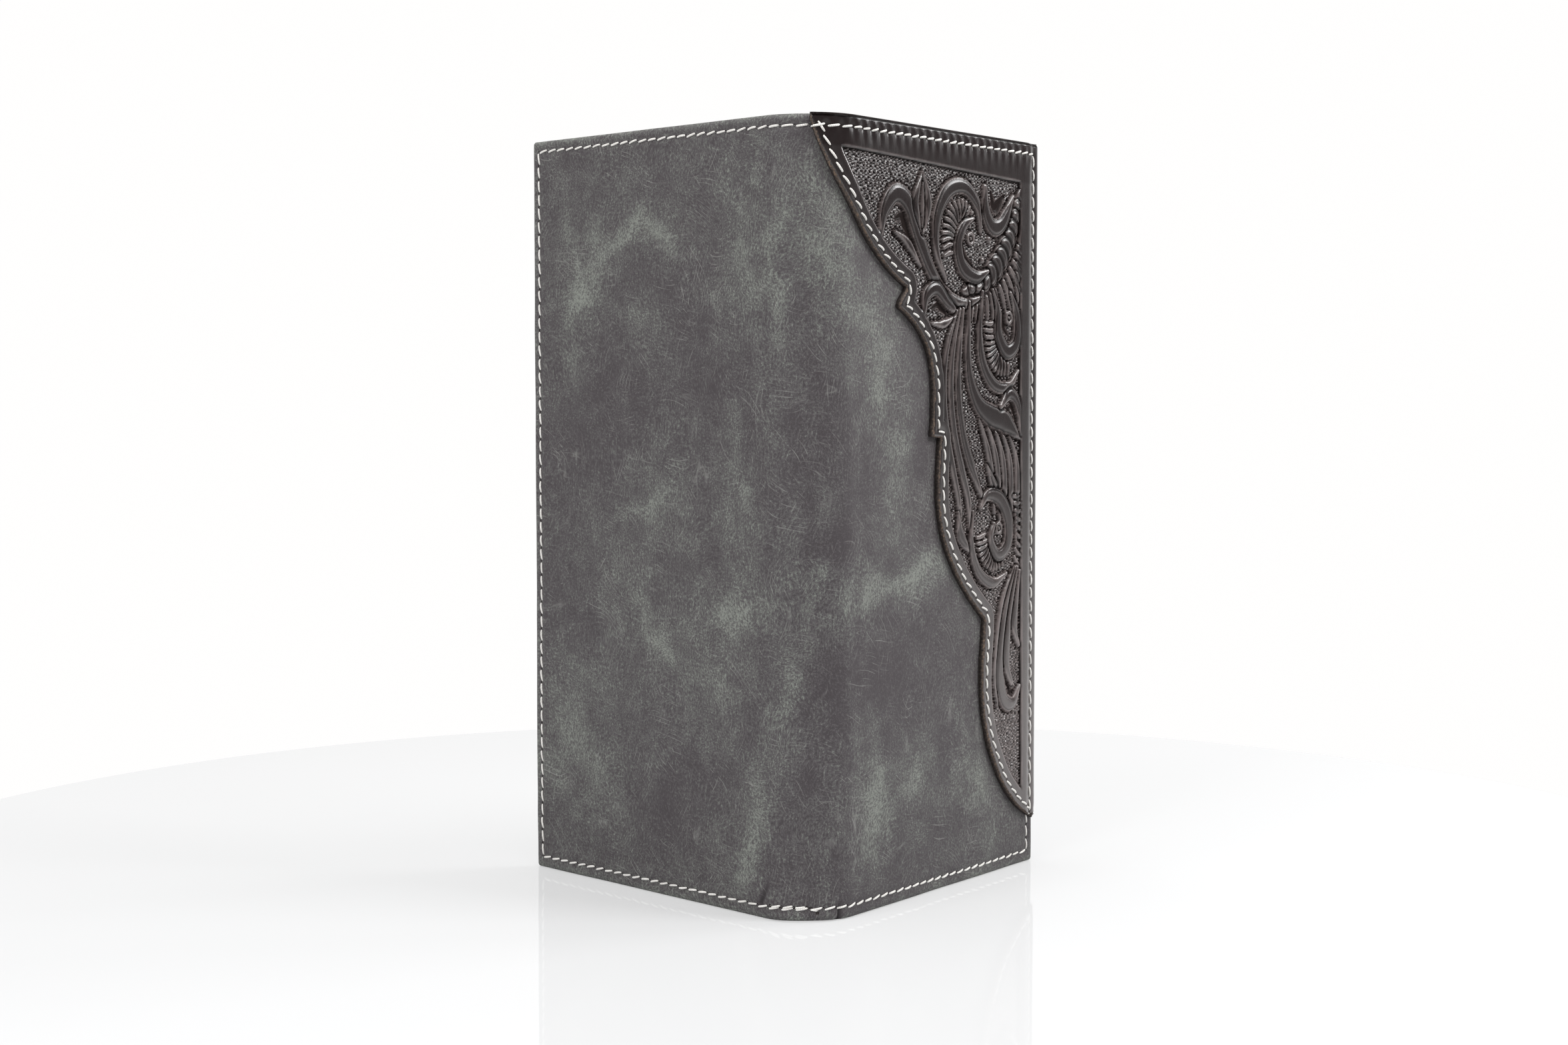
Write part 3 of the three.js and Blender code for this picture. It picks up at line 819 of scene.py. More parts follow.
def near_form(points, half_widths, margin=0.0):
    """The part of the carving grid round a form, with the distance of each place from the form's
    middle line and the half width of the form there."""
    line = flow(points)
    reach = max(half_widths) + margin + TOOL_STEP
    low = line.min(axis=0) - reach
    high = line.max(axis=0) + reach
    columns = slice(*np.searchsorted(tool_columns, (low[0], high[0])))
    rows = slice(*np.searchsorted(tool_rows, (low[1], high[1])))
    view = (rows, columns)
    distance, along = line_distance(tool_across[view], tool_up[view], line)
    return view, distance, np.interp(along, np.linspace(0, 1, len(half_widths)), half_widths)


def raise_form(points, half_widths, top=0.0, fall=0.5, bevel=BEVEL, press=0.34):
    """Leaves one form standing: a round face that falls to its edge, and its surround bevelled down."""
    view, distance, width = near_form(points, half_widths, BEVEL_REACH * bevel)
    width = np.maximum(width, SLIMMEST_FORM)
    ratio = distance / width
    face = top + fall * (1 - np.sqrt(1 - np.minimum(ratio, STEEPEST_FORM) ** 3))
    in_rim = bell(width - distance - RIM_INSET, RIM_GROOVE_WIDTH)
    face = face + RIM_GROOVE * ease(width, *RIMMED_WIDTHS) * in_rim
    pressed = recess[view] + press * bell(np.maximum(distance - width, 0), bevel)
    pressed = np.minimum(pressed, np.maximum(recess[view], BEVEL_LIMIT))
    held = ease(field[view], *FIELD_HELD)
    recess[view] = recess[view] * (1 - held) + np.where(ratio < 1, face, pressed) * held
    worked[view] = np.where((ratio < 1) & (field[view] > 0), 1.0, worked[view])


def raise_feather(points, half_widths):
    """A narrow round ridge, as one blade of a fringe."""
    raise_form(points, half_widths, top=0.12, fall=0.3, bevel=0.32, press=0.26)


def hollow(points, half_widths, depth=0.6):
    """Presses a smooth hollow into a form, or between forms."""
    view, distance, width = near_form(points, half_widths)
    sunk = depth * ease(1.25 * (1 - distance / np.maximum(width, SLIMMEST_FORM)))
    recess[view] = np.minimum(recess[view] + sunk, GROUND_LIMIT)
    worked[view] = np.where(distance < width, 1.0, worked[view])


def spread(points, count):
    """Evenly spaced places along a smooth line, with the heading of the line at each."""
    line = flow(points, 12)
    length = run_lengths(line)[-1]
    for share in (np.arange(count) + 0.5) / count:
        here, there = points_along(line, share * length + np.array([0, 0.2]))
        yield share, here, math.atan2(there[1] - here[1], there[0] - here[0])


def fringe(points, count, lengths, turn, width, curl=0.35):
    """Feather blades side by side that leave a line on one side, turned from it by an angle."""
    for share, root, heading in spread(points, count):
        reach = np.interp(share, np.linspace(0, 1, len(lengths)), lengths)
        heading += math.radians(turn)
        middle = root + 0.5 * reach * np.array([math.cos(heading), math.sin(heading)])
        tip = middle + 0.5 * reach * np.array([math.cos(heading + curl), math.sin(heading + curl)])
        raise_feather([root, middle, tip], [width * 0.75, width, width * 0.5])


def dot(at):
    """A line with hardly any length, for round forms."""
    return [(at[0] - 0.01, at[1]), (at[0] + 0.01, at[1])]


def bead(at, radius):
    """One round seed."""
    raise_form(dot(at), [radius, radius], top=0.06, fall=0.3, bevel=0.3, press=0.15)


def eye(at, radius):
    """The round eye of a scroll: a ring with a bead in it."""
    turns = np.linspace(0, 2 * np.pi, 14)
    ring = [(at[0] + radius * math.cos(t), at[1] + radius * math.sin(t)) for t in turns]
    hollow(dot(at), [radius * 1.5, radius * 1.5], 0.4)
    raise_form(ring, [0.5, 0.5], top=0.05, fall=0.25, bevel=0.35, press=0.18)
    bead(at, 0.55)


def scales(points, count, radii):
    """A stem of overlapping round scales."""
    for share, at, _ in spread(points, count):
        radius = np.interp(share, np.linspace(0, 1, len(radii)), radii)
        raise_form(dot(at), [radius, radius], fall=0.45, bevel=0.5, press=0.3)


# Feathers that fill the ground below the wide leaf
for i in range(5):
    raise_form([(65.4 + 3.6 * i, 114.4 - 1.0 * i), (69.6 + 3.4 * i, 106.4 - 0.6 * i),
                (71.8 + 3.0 * i, 99.5 - 1.1 * i), (72.6 + 2.7 * i, 91 - 2.2 * i)], [0.4, 1.2, 1.4, 0.4])

# Slim leaf along the outer border
raise_form([(85, 169), (84.6, 158), (83.2, 149), (83.4, 141.5)], [0.25, 0.9, 1.3, 0.6])

# Feathers between the scaled stem and the second scroll
fringe([(61, 145.4), (66.5, 146.2), (72.5, 148.6), (78, 153.6), (81.4, 160)],
       13, [6.5, 9.5, 10.5, 10], -96, 0.85, -0.2)

# Scaled stem
raise_form([(84.2, 171.4), (81.6, 163.4), (77.2, 156.4), (72, 151), (65.4, 147.4), (58, 145.6)],
           [0.8, 2.9, 3.9, 3.7, 2.6, 1.0], 0.1)
scales([(83.6, 169.6), (81, 162.4), (76.8, 156), (71.8, 151.2), (65.8, 148), (60, 146.4)], 11,
       [1.3, 2.5, 3.4, 3.6, 2.9, 1.3])

# Crested scroll
raise_form([(49.4, 148.4), (45.4, 155), (45.6, 163), (50.6, 169.6), (58, 171), (64, 167), (65.4, 160.6)],
           [0.5, 1.3, 1.9, 2.2, 2.1, 1.7, 0.6])
fringe([(49, 153), (48.4, 160), (52, 166.2), (58, 167.6), (62.4, 164.4)],
       14, [4.6, 5.4, 5.2, 4.6, 3.4], -78, 0.75, -0.3)
raise_form([(62, 163.6), (57.8, 161.6), (55.4, 156.8), (57.6, 151.6), (63.6, 149.4), (69, 151)],
           [0.5, 1.6, 2.2, 2.3, 1.8, 0.6])
hollow([(57, 158), (58.6, 154.4), (62, 152.4)], [0.3, 1.0, 0.3], 0.45)
eye((60.8, 158.6), 1.3)

# Corner leaf at the head
raise_form([(67.4, 171.6), (68, 165.6), (71.4, 162), (76.2, 163.4), (81, 170.2)],
           [0.9, 2.1, 2.4, 1.9, 0.5])
hollow([(70.6, 170.4), (72.8, 167), (77, 170)], [0.5, 2.2, 0.5])
bead((66.4, 153.6), 0.8)
bead((69.4, 158.8), 0.9)

# Loop leaf and its long stem
raise_form([(21.2, 157.6), (23.2, 163.8), (28, 167.6), (33.4, 165.2), (37.8, 157.6), (43.2, 150),
            (50, 144.8), (58, 142.8), (65.4, 144.4)],
           [0.9, 2.2, 2.6, 2.5, 2.2, 1.9, 1.7, 1.5, 0.6])
hollow([(28.4, 161.8), (31, 162), (34.8, 156.8)], [0.8, 1.9, 0.4], 0.4)
raise_form([(27.4, 158.6), (32.6, 156.4), (38.2, 151)], [0.5, 1.3, 0.4])

# Bud
raise_form([(38.6, 159.2), (36.2, 166), (38.9, 173.2)], [0.4, 1.6, 0.3])
raise_form([(39.2, 158.8), (41.8, 166), (39.1, 173.2)], [0.4, 1.6, 0.3])
raise_form([(38.9, 160.4), (39, 165.6), (39, 170.8)], [0.3, 0.9, 0.3])

# Small leaf below the loop
raise_form([(39.6, 139.6), (41.2, 144.2), (45.6, 146), (50.4, 142.8), (55.6, 140)],
           [0.9, 1.8, 2.0, 1.6, 0.6])
hollow([(44.2, 141.2), (47, 142), (51, 139.6)], [0.6, 1.4, 0.3], 0.4)
raise_form([(43.6, 137.6), (48.6, 137.6), (53.6, 139.4)], [0.5, 1.2, 0.4])

# Combed stems
raise_form([(54.8, 141), (50.0, 131), (49.0, 121), (50.6, 111), (53.4, 102), (56.0, 94), (57.0, 85)],
           [0.4, 1.1, 1.3, 1.3, 1.3, 1.1, 0.4])
raise_form([(56.2, 141.4), (52.8, 131), (52.2, 121), (54.0, 111), (57.4, 102), (60.4, 94.4), (61.6, 84)],
           [0.4, 1.1, 1.4, 1.4, 1.5, 1.2, 0.4])
raise_form([(57.6, 141.6), (55.8, 131), (55.6, 121), (57.8, 111), (62.0, 102.6), (66.6, 95.6)],
           [0.4, 1.2, 1.5, 1.6, 1.8, 0.7])

# Second scroll, a comb of feathers held between its back and its head
raise_form([(66.6, 146), (65.2, 137), (66.8, 128.6), (72.4, 123), (79.6, 122.6), (84, 126.6)],
           [0.4, 1.2, 1.7, 1.9, 1.6, 0.5])
fringe([(68, 139), (69.2, 130.6), (73.6, 126), (79.6, 125.8)], 13, [4.2, 5.4, 5.6, 4.4], 80, 0.75, 0.3)
raise_form([(71.4, 146.6), (74, 141.4), (74.4, 135.6), (78.4, 131.4), (83, 133.6), (83.4, 140),
            (80, 146)],
           [0.4, 1.5, 2.0, 2.2, 2.1, 1.8, 0.6])
hollow([(77, 142), (77.4, 137.4), (80, 135)], [0.3, 1.0, 0.3], 0.45)
eye((79.2, 139.8), 1.3)

# Wide stem that ends in a leaf
raise_form([(60.4, 143.2), (59.8, 133), (61, 124.6), (65, 118.4), (71, 115.4), (77.8, 113.8),
            (85, 109.6)],
           [0.5, 1.3, 1.6, 2.2, 3.0, 3.2, 0.6])
raise_form([(75.6, 117.6), (80.4, 120.8), (84.4, 117.6), (85.2, 110.6)], [0.8, 1.8, 1.5, 0.5])
hollow([(78.6, 116.6), (81.6, 117.4), (83.4, 113.8)], [0.5, 1.1, 0.4], 0.35)

# Small drop leaves
raise_form([(68.8, 103.4), (72.4, 98), (76, 91.6)], [0.25, 1.9, 0.6])
hollow([(70.6, 100.4), (72.6, 97.4), (74, 95)], [0.2, 0.8, 0.3], 0.25)
raise_form([(55.6, 92), (57, 86), (61.4, 82)], [0.3, 2.0, 0.7])

# Third scroll
raise_form([(62.4, 92), (61.8, 84), (65.2, 77), (72, 73.6), (78.6, 75.6)], [0.4, 1.1, 1.6, 1.6, 0.5])
fringe([(64.2, 86), (66.6, 80), (72, 76.8), (77.4, 78.2)], 12, [4.0, 5.2, 5.2, 4.0], 76, 0.75, 0.3)
raise_form([(66, 92.6), (69.6, 95.6), (75.6, 94.4), (79.6, 89), (79, 82.6), (74.4, 80.6), (71, 84.6),
            (72.6, 88.4)],
           [0.6, 1.7, 2.2, 2.3, 2.1, 1.8, 1.4, 0.7])
eye((74.8, 87.2), 1.2)
fringe([(81, 96), (83.4, 89), (83, 81), (80.6, 75)], 11, [3.4, 3.2, 3.2, 3.0], 60, 0.7, 0.25)

# Long drops at the foot
raise_form([(82.6, 77), (76.4, 68), (74, 58), (73.4, 50), (74.6, 42)], [0.4, 0.9, 1.1, 1.0, 0.3])
raise_form([(83.4, 77), (78.8, 67.6), (76.4, 57.6), (76, 49.6), (78, 43.6), (82.2, 42.4), (85.4, 46.6)],
           [0.4, 1.1, 1.4, 1.6, 2.1, 2.1, 0.5])
raise_form([(84.2, 77), (81.2, 67.6), (79.2, 58), (79.2, 52), (81.2, 47.8)], [0.4, 1.0, 1.3, 1.6, 1.1])
raise_form([(85.2, 76), (83.6, 68), (82.8, 61.4), (84.8, 57)], [0.4, 1.0, 1.6, 0.7])
hollow([(79.8, 47.8), (81.2, 45.4), (83, 45.8)], [0.3, 0.9, 0.3], 0.35)

# The ground between the forms is matted with rows of a small seed stamp, struck by hand
SEED_PITCH = (1.8, 1.2)
SEED_EDGE = (0.3, 0.9)
SEED_DEPTH = 0.08
SEED_RELIEF = 0.25
SEED_WANDER_ACROSS = [(0.35, 2.4, 41)]
SEED_WANDER_UP = [(0.35, 2.4, 42)]
SEED_GRIT = [(0.08, 0.6, 43)]
ground = ease(field, *SEED_EDGE) * (1 - worked)
seed_column = tool_across / SEED_PITCH[0] + swells(tool_across, tool_up, SEED_WANDER_ACROSS)
seed_row = tool_up / SEED_PITCH[1] + swells(tool_across, tool_up, SEED_WANDER_UP)
seeds = np.cos(2 * np.pi * seed_row) * np.cos(np.pi * (2 * seed_column + np.floor(seed_row + 0.5)))
recess = recess + ground * (SEED_DEPTH + SEED_RELIEF * seeds + swells(tool_across, tool_up, SEED_GRIT))


def blurred(values, cells):
    """Each value evened out with its neighbours up to a number of cells away."""
    kernel = np.hanning(2 * cells + 3)[1:-1]
    for axis in (0, 1):
        values = np.apply_along_axis(np.convolve, axis, values, kernel / kernel.sum(), "same")
    return values


def head_roll(up):
    """How far the overlay's head has turned over the edge of the shell, from 0 to 1."""
    return np.clip(1 - (overlay_top_edge - up) / HEAD_ROLL, 0, 1)


# Rims and seed tops are painted paler, partly as true wear and partly as painted highlight; the black
# finish lies in the hollows, and the upper forms are dull
WEAR_AND_HIGHLIGHT_REACH = 4
WEAR_AND_HIGHLIGHT_START = 0.045
WEAR_AND_HIGHLIGHT_RANGE = 0.10
FIELD_WEAR_AND_HIGHLIGHT = 0.65
BORDER_WEAR_AND_HIGHLIGHT = 0.45
SEED_WEAR_AND_HIGHLIGHT = 1.3
EDGE_FINISH = 0.9
HEAD_BAND_EDGE = (-0.6, 0.2)
HEAD_DULLNESS = 0.55
DULL_EDGE = (0.0, 0.5)
DULL_HEIGHTS = (40.0, 110.0)
FORM_DULLNESS = 0.5
# Painted highlight, partly true wear: rims that stand above their surroundings and the tops of the seeds
# get a paler colour
standing_out = blurred(recess, WEAR_AND_HIGHLIGHT_REACH) - recess
rim_wear_and_highlight = np.clip((standing_out - WEAR_AND_HIGHLIGHT_START) / WEAR_AND_HIGHLIGHT_RANGE, 0, 1)
rim_wear_and_highlight = rim_wear_and_highlight * np.where(field > 0, FIELD_WEAR_AND_HIGHLIGHT, BORDER_WEAR_AND_HIGHLIGHT)
rim_wear_and_highlight = np.maximum(rim_wear_and_highlight, ground * np.clip(-SEED_WEAR_AND_HIGHLIGHT * seeds, 0, 1))
finish_depth = recess + EDGE_FINISH * np.sqrt(head_roll(tool_up))
head_band = ease(tool_up - field_head, *HEAD_BAND_EDGE)
smooth_tops = ease(field, *DULL_EDGE) * worked * (1 - rim_wear_and_highlight) * ease(tool_up, *DULL_HEIGHTS)
dulled = np.maximum(HEAD_DULLNESS * head_band, FORM_DULLNESS * smooth_tops)

# The seam gathers the head band into a pucker at each stitch
PUCKER_DEPTH = 0.30
PUCKER_VARIES = 0.08
PUCKER_DRIFT = 0.12
PUCKER_BELOW = 2.6
PUCKER_ABOVE = 1.6
PUCKER_END = 3
head_pitch = sewn_outer[FRONT] / round(sewn_outer[FRONT] / STITCH_PITCH)


def overlay_border(across, up):
    """Depth of the overlay's face outside the carving: rolled edges, sewn seam and its puckers."""
    outer_roll = np.clip(1 - (overlay_outer_edge - across) / OUTER_ROLL, 0, 1)
    roll = np.minimum(np.hypot(head_roll(up), outer_roll), FULL_ROLL)
    skive = SKIVE_DEPTH * ease(SKIVE_WIDTH - overlay_outer_edge + across, 0.0, SKIVE_RUN)
    depth = overlay_face_depth + ROLL_DEPTH * rolled(roll) + skive
    below = np.maximum(sewn_head - up, 0)
    above = np.maximum(up - sewn_head, 0)
    pull = bell(below, PUCKER_BELOW) * bell(above, PUCKER_ABOVE)
    bars = np.sin(np.pi * across / head_pitch + PUCKER_DRIFT * soft_noise(across, up, 5.0, 51)) ** 2
    strength = PUCKER_DEPTH + PUCKER_VARIES * soft_noise(across, 0 * up, 4.0, 53)
    strength = strength * ease(overlay_outer_edge - across, PUCKER_END, 2 * PUCKER_END)
    depth = depth + strength * (0.5 - bars) * pull
    depth = depth + EDGE_SEAM_PULL * bell(seam_distance(across, up), SEW_PULL_WIDTH)
    return depth + swells(across, up, OVERLAY_SWELLS)


sew_pull = OVERLAY_SEW_PULL * bell(inside_cut - OVERLAY_SEW_INSET, OVERLAY_SEW_WIDTH)
knife_round = KNIFE_ROUND * np.clip(1 - inside_cut / KNIFE_ROUND_WIDTH, 0, 1) ** 2
overlay_depth = overlay_border(tool_across, tool_up) + recess + sew_pull + knife_round
# Painted reflection of the white floor, from 110 mm down to 30 mm up: a paler brown on the standing
# leather, a lifted ground and stronger painted rim highlights
FLOOR_SHEEN_HEIGHTS = (110.0, 30.0)
PAINTED_FLOOR_SHEEN_COLOUR = (0.085, 0.072, 0.070, 1)
WEAR_AND_HIGHLIGHT_COLOUR = (0.190, 0.155, 0.150, 1)


def tooled_leather():
    """Dyed and polished carving leather: rims paler from true wear and painted highlight, black antique
    finish left in the ground, and a painted reflection of the white floor towards the foot.
    """
    material, tree, shader = new_material("tooled_leather")
    where = stored(tree, "sheet_place", "Vector")
    sunk = stored(tree, "sunk")
    matted = stored(tree, "matted")
    wear_and_highlight = stored(tree, "wear_and_highlight")
    dull = stored(tree, "dulled")
    cloud = noise(tree, where, 0.22, 5.0)
    streak = noise(tree, squeezed(tree, where, (2.2, 0.35)), 1.0, 4.0, 0.65)
    mottle = combine(tree, "ADD", cloud, streak)
    height_up = add_node(tree, "ShaderNodeSeparateXYZ", {0: where}).outputs["Y"]
    # Painted sheen: the matted ground is lifted out of the dark finish, and more so towards the foot, as
    # painted reflection of the white floor
    ground_lift_and_floor_sheen = remap(tree, height_up, *FLOOR_SHEEN_HEIGHTS, 0.43, 0.55)
    crevice = combine(tree, "SUBTRACT", sunk, combine(tree, "MULTIPLY", matted, ground_lift_and_floor_sheen))
    dark = combine(tree, "ADD", crevice, remap(tree, mottle, 0.7, 1.3, -0.15, 0.15))
    dyed = colours(
        tree,
        dark,
        (0.0, (0.016, 0.0108, 0.0108)),
        (0.25, (0.008, 0.0052, 0.0050)),
        (0.5, (0.002, 0.0013, 0.0012)),
        (0.85, (0.018, 0.0135, 0.013)),
    )
    standing = remap(tree, crevice, 0.12, 0.42, 1.0, 0.0)
    # Painted reflection of the white floor: the standing leather turns paler towards the foot
    floor_sheen = remap(tree, height_up, *FLOOR_SHEEN_HEIGHTS, 0.0, 0.85)
    with_floor_sheen = mixed(tree, combine(tree, "MULTIPLY", floor_sheen, standing), dyed, PAINTED_FLOOR_SHEEN_COLOUR)
    # Painted highlight: the paler rims and seed tops grow brighter towards the foot
    foot_highlight_boost = remap(tree, height_up, *FLOOR_SHEEN_HEIGHTS, 1.0, 1.5)
    wear_and_highlight_strength = combine(tree, "MULTIPLY", remap(tree, mottle, 0.75, 1.2, 0.35, 1.0), foot_highlight_boost)
    colour = mixed(tree, combine(tree, "MULTIPLY", wear_and_highlight, wear_and_highlight_strength), with_floor_sheen, WEAR_AND_HIGHLIGHT_COLOUR)
    tree.links.new(colour, shader.inputs["Base Color"])
    tree.links.new(remap(tree, mottle, 0.6, 1.4, 0.13, 0.27), shader.inputs["Roughness"])
    polish = remap(tree, crevice, 0.10, 0.36, 1.0, 0.03)
    gloss = combine(tree, "MULTIPLY", polish, remap(tree, dull, 0.0, 1.0, 1.0, 0.0))
    tree.links.new(gloss, shader.inputs["Specular IOR Level"])
    grit = add_node(tree, "ShaderNodeTexVoronoi", {"Vector": where, "Scale": 1.9}).outputs["Distance"]
    pitted = combine(tree, "MULTIPLY", grit, matted)
    height = combine(tree, "SUBTRACT", combine(tree, "MULTIPLY", streak, 0.28), pitted)
    emboss(tree, shader, height, 0.5, 0.00022)
    return material


def raw_edge_leather():
    """The fibres of a cut edge, dyed dark with tan showing where the dye has come off at the face, and
    painted darker towards the shell as a painted shadow line.
    """
    material, tree, shader = new_material("raw_cut_edge", Roughness=0.85, Specular_IOR_Level=0.2)
    where = stored(tree, "sheet_place", "Vector")
    corner = add_node(tree, "ShaderNodeSeparateXYZ", {0: where}).outputs["Z"]
    # Tan at the face's corner where the dye has come off, and painted shadow darkening the wall towards
    # the shell
    corner_wear_and_shadow = remap(tree, corner, -1.2, -0.4, 0.05, -0.2)
    fuzz = combine(tree, "ADD", noise(tree, where, 1.6, 6.0, 0.75), corner_wear_and_shadow)
    colour = colours(
        tree,
        fuzz,
        (0.32, (0.020, 0.016, 0.0145)),
        (0.55, (0.085, 0.069, 0.061)),
        (0.72, (0.27, 0.18, 0.12)),
    )
    tree.links.new(colour, shader.inputs["Base Color"])
    emboss(tree, shader, fuzz, 0.8, 0.0002)
    return material


# The face is the part of the grid inside the cut, with its border drawn onto the cut edge
OUTSIDE = 100
middle_across = (tool_across[:-1, :-1] + tool_across[1:, 1:]) / 2
middle_up = (tool_up[:-1, :-1] + tool_up[1:, 1:]) / 2
kept_cells = cut_distance(middle_across, middle_up)[0] > 0
touched = np.zeros(tool_across.shape, int)
for row_step, column_step in ((0, 0), (0, 1), (1, 0), (1, 1)):
    rows = slice(row_step, row_step + kept_cells.shape[0])
    columns = slice(column_step, column_step + kept_cells.shape[1])
    touched[rows, columns] += np.where(kept_cells, 1, OUTSIDE)
on_cut = (touched % OUTSIDE > 0) & (touched >= OUTSIDE)
face_across = np.where(on_cut, nearest_cut[..., 0], tool_across)
face_up = np.where(on_cut, nearest_cut[..., 1], tool_up)
face_depth = np.where(on_cut, overlay_border(face_across, face_up) + KNIFE_ROUND, overlay_depth)
face_points = np.stack([face_across, face_up, face_depth], axis=-1).reshape(-1, 3)

index = np.arange(tool_across.size).reshape(tool_across.shape)
cells = np.array(grid_faces(*index.shape))[kept_cells.ravel()]
used = np.unique(cells)
renumber = np.full(tool_across.size, -1)
renumber[used] = np.arange(len(used))
overlay_faces = renumber[cells].tolist()
open_sides = {}
for face in overlay_faces:
    for a, b in zip(face, face[1:] + face[:1]):
        if (b, a) in open_sides:
            del open_sides[(b, a)]
        else:
            open_sides[(a, b)] = True

# Three rows of wall close the sheet's edge, and strips under each row of the grid close its back
WALL_ROWS = 3
THINNEST_EDGE = 0.3
FRAYING = 0.10
rim_points = sorted({a for a, _ in open_sides})
rim_place = {point: i for i, point in enumerate(rim_points)}
rim_across, rim_up, rim_depth = face_points[used[rim_points]].T
rim_back = np.maximum(rim_depth + THINNEST_EDGE, -OVERLAY_BACK_GAP)
flat_points = [face_points[used]]
for row in range(1, WALL_ROWS + 1):
    frayed = FRAYING * soft_noise(rim_across * 3 + row * 7.0, rim_up * 3, 1.0, 61) * (row < WALL_ROWS)
    wall_depth = rim_depth + (rim_back - rim_depth) * row / WALL_ROWS
    flat_points.append(np.stack([rim_across + frayed, rim_up, wall_depth], axis=-1))
face_count = len(overlay_faces)
wall_start = len(used)
rim_count = len(rim_points)
for a, b in open_sides:
    above_a, above_b = a, b
    for row in range(WALL_ROWS):
        below_a = wall_start + row * rim_count + rim_place[a]
        below_b = wall_start + row * rim_count + rim_place[b]
        overlay_faces.append([above_b, above_a, below_a, below_b])
        above_a, above_b = below_a, below_b

back_start = wall_start + (WALL_ROWS - 1) * rim_count
back_points = []
back_number = {}


def back_point(row, column):
    """The point under a grid point on the overlay's back, made when first asked for."""
    point = int(renumber[index[row, column]])
    if point in rim_place:
        return back_start + rim_place[point]
    if point not in back_number:
        back_number[point] = wall_start + WALL_ROWS * rim_count + len(back_points)
        back_points.append((tool_across[row, column], tool_up[row, column], -OVERLAY_BACK_GAP))
    return back_number[point]


bend_column = int(np.searchsorted(tool_columns, bend_length)) + 1
last_column = kept_cells.shape[1]
first_kept = np.where(kept_cells.any(axis=1), kept_cells.argmax(axis=1), last_column)
for row in range(kept_cells.shape[0]):
    start = first_kept[row]
    if start == last_column:
        continue
    low_from = first_kept[row - 1] if row > 0 else last_column
    high_from = first_kept[row + 1] if row + 1 < len(first_kept) else last_column
    for column in range(start, min(bend_column, last_column)):
        corners = [(row, column), (row + 1, column), (row + 1, column + 1), (row, column + 1)]
        overlay_faces.append([back_point(*corner) for corner in corners])
    start = max(start, bend_column)
    low = list(range(start, min(max(start, low_from), last_column) + 1))
    high = list(range(start, min(max(start, high_from), last_column) + 1))
    low += [last_column] if low[-1] != last_column else []
    high += [last_column] if high[-1] != last_column else []
    strip = [back_point(row, column) for column in reversed(low)]
    strip += [back_point(row + 1, column) for column in high]
    overlay_faces.append(strip)

flat_points.append(np.array(back_points).reshape(-1, 3))
flat_points = np.vstack(flat_points)
overlay = add_piece(
    "carved_overlay", place(*flat_points.T), overlay_faces, tooled_leather(), raw_edge_leather()
)
TURNED_STRIP = 0.4
OVERLAY_SHARP_ANGLE = 62
over_outer = flat_points[:, 0] > overlay_outer_edge - TURNED_STRIP
turned_edge = over_outer | (flat_points[:, 1] > overlay_top_edge - TURNED_STRIP)
slots = np.zeros(len(overlay_faces), np.int32)
for i, face in enumerate(overlay_faces):
    cut_raw = i >= face_count or any(point in rim_place for point in face)
    slots[i] = cut_raw and not turned_edge[face].any()
overlay.data.polygons.foreach_set("material_index", slots)
overlay.data.set_sharp_from_angle(angle=math.radians(OVERLAY_SHARP_ANGLE))
keep_on_points(overlay, "sheet_place", flat_points)
off_face = np.zeros(len(flat_points) - len(used))
keep_on_points(overlay, "sunk", np.concatenate([finish_depth.ravel()[used], off_face + EDGE_FINISH]))
for mark_name, mark in (("matted", ground), ("wear_and_highlight", rim_wear_and_highlight), ("dulled", dulled)):
    keep_on_points(overlay, mark_name, np.concatenate([mark.ravel()[used], off_face]))
bend_with_fold(overlay, FRONT)
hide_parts("tooled_overlay")

# Overlay stitching: off-white thread in a lockstitch, a little inside the cut edge.
# Each stitch is a short raised thread that leans a little and dives into a needle hole at both ends.
OVERLAY_STITCH_PITCH = 3.3
SEAM_LOOSE = 0.12
SEAM_FROM_HEAD = 0.8
SEAM_FROM_OUTER = 2.0
THREAD_RADIUS = 0.27
THREAD_SIDES = 8
THREAD_RINGS = 9
THREAD_TWIST = 1.6
# Shares of the thread's radius: how flat it lies, how thin its ends are, how far it rises and dives
THREAD_FLATTENED = 0.86
THREAD_END = 0.62
THREAD_RISE = 1.45
THREAD_DIVE = 0.75
STITCH_LEAN = 0.26
STITCH_GAP = 0.18
STITCH_BOW = 0.10
HOLE_RADIUS = 0.36
HOLE_RIM = 0.035
HOLE_SINK = 0.02
THREAD_SLOT = 0
HOLE_SLOT = 1


def slanting_ribs(tree, where, scale, distortion):
    """Even ribs that run at a slant, a little wavy."""
    values = {"Vector": where, "Scale": scale, "Distortion": distortion}
    return add_node(tree, "ShaderNodeTexWave", values, bands_direction="DIAGONAL").outputs["Fac"]


def thread_material():
    """Bonded off-white thread with a fine twist, a little soiled."""
    material, tree, shader = new_material("sewing_thread", Roughness=0.6, Sheen_Weight=0.25)
    where = stored(tree, "thread_place", "Vector")
    twist = slanting_ribs(tree, where, 1.0, 0.6)
    shade = combine(tree, "MULTIPLY", twist, noise(tree, where, 0.35, 2.0))
    colour = colours(tree, shade, (0.0, (0.60, 0.57, 0.53)), (0.45, (0.88, 0.87, 0.84)))
    tree.links.new(colour, shader.inputs["Base Color"])
    emboss(tree, shader, twist, 0.5, 0.00008)
    return material


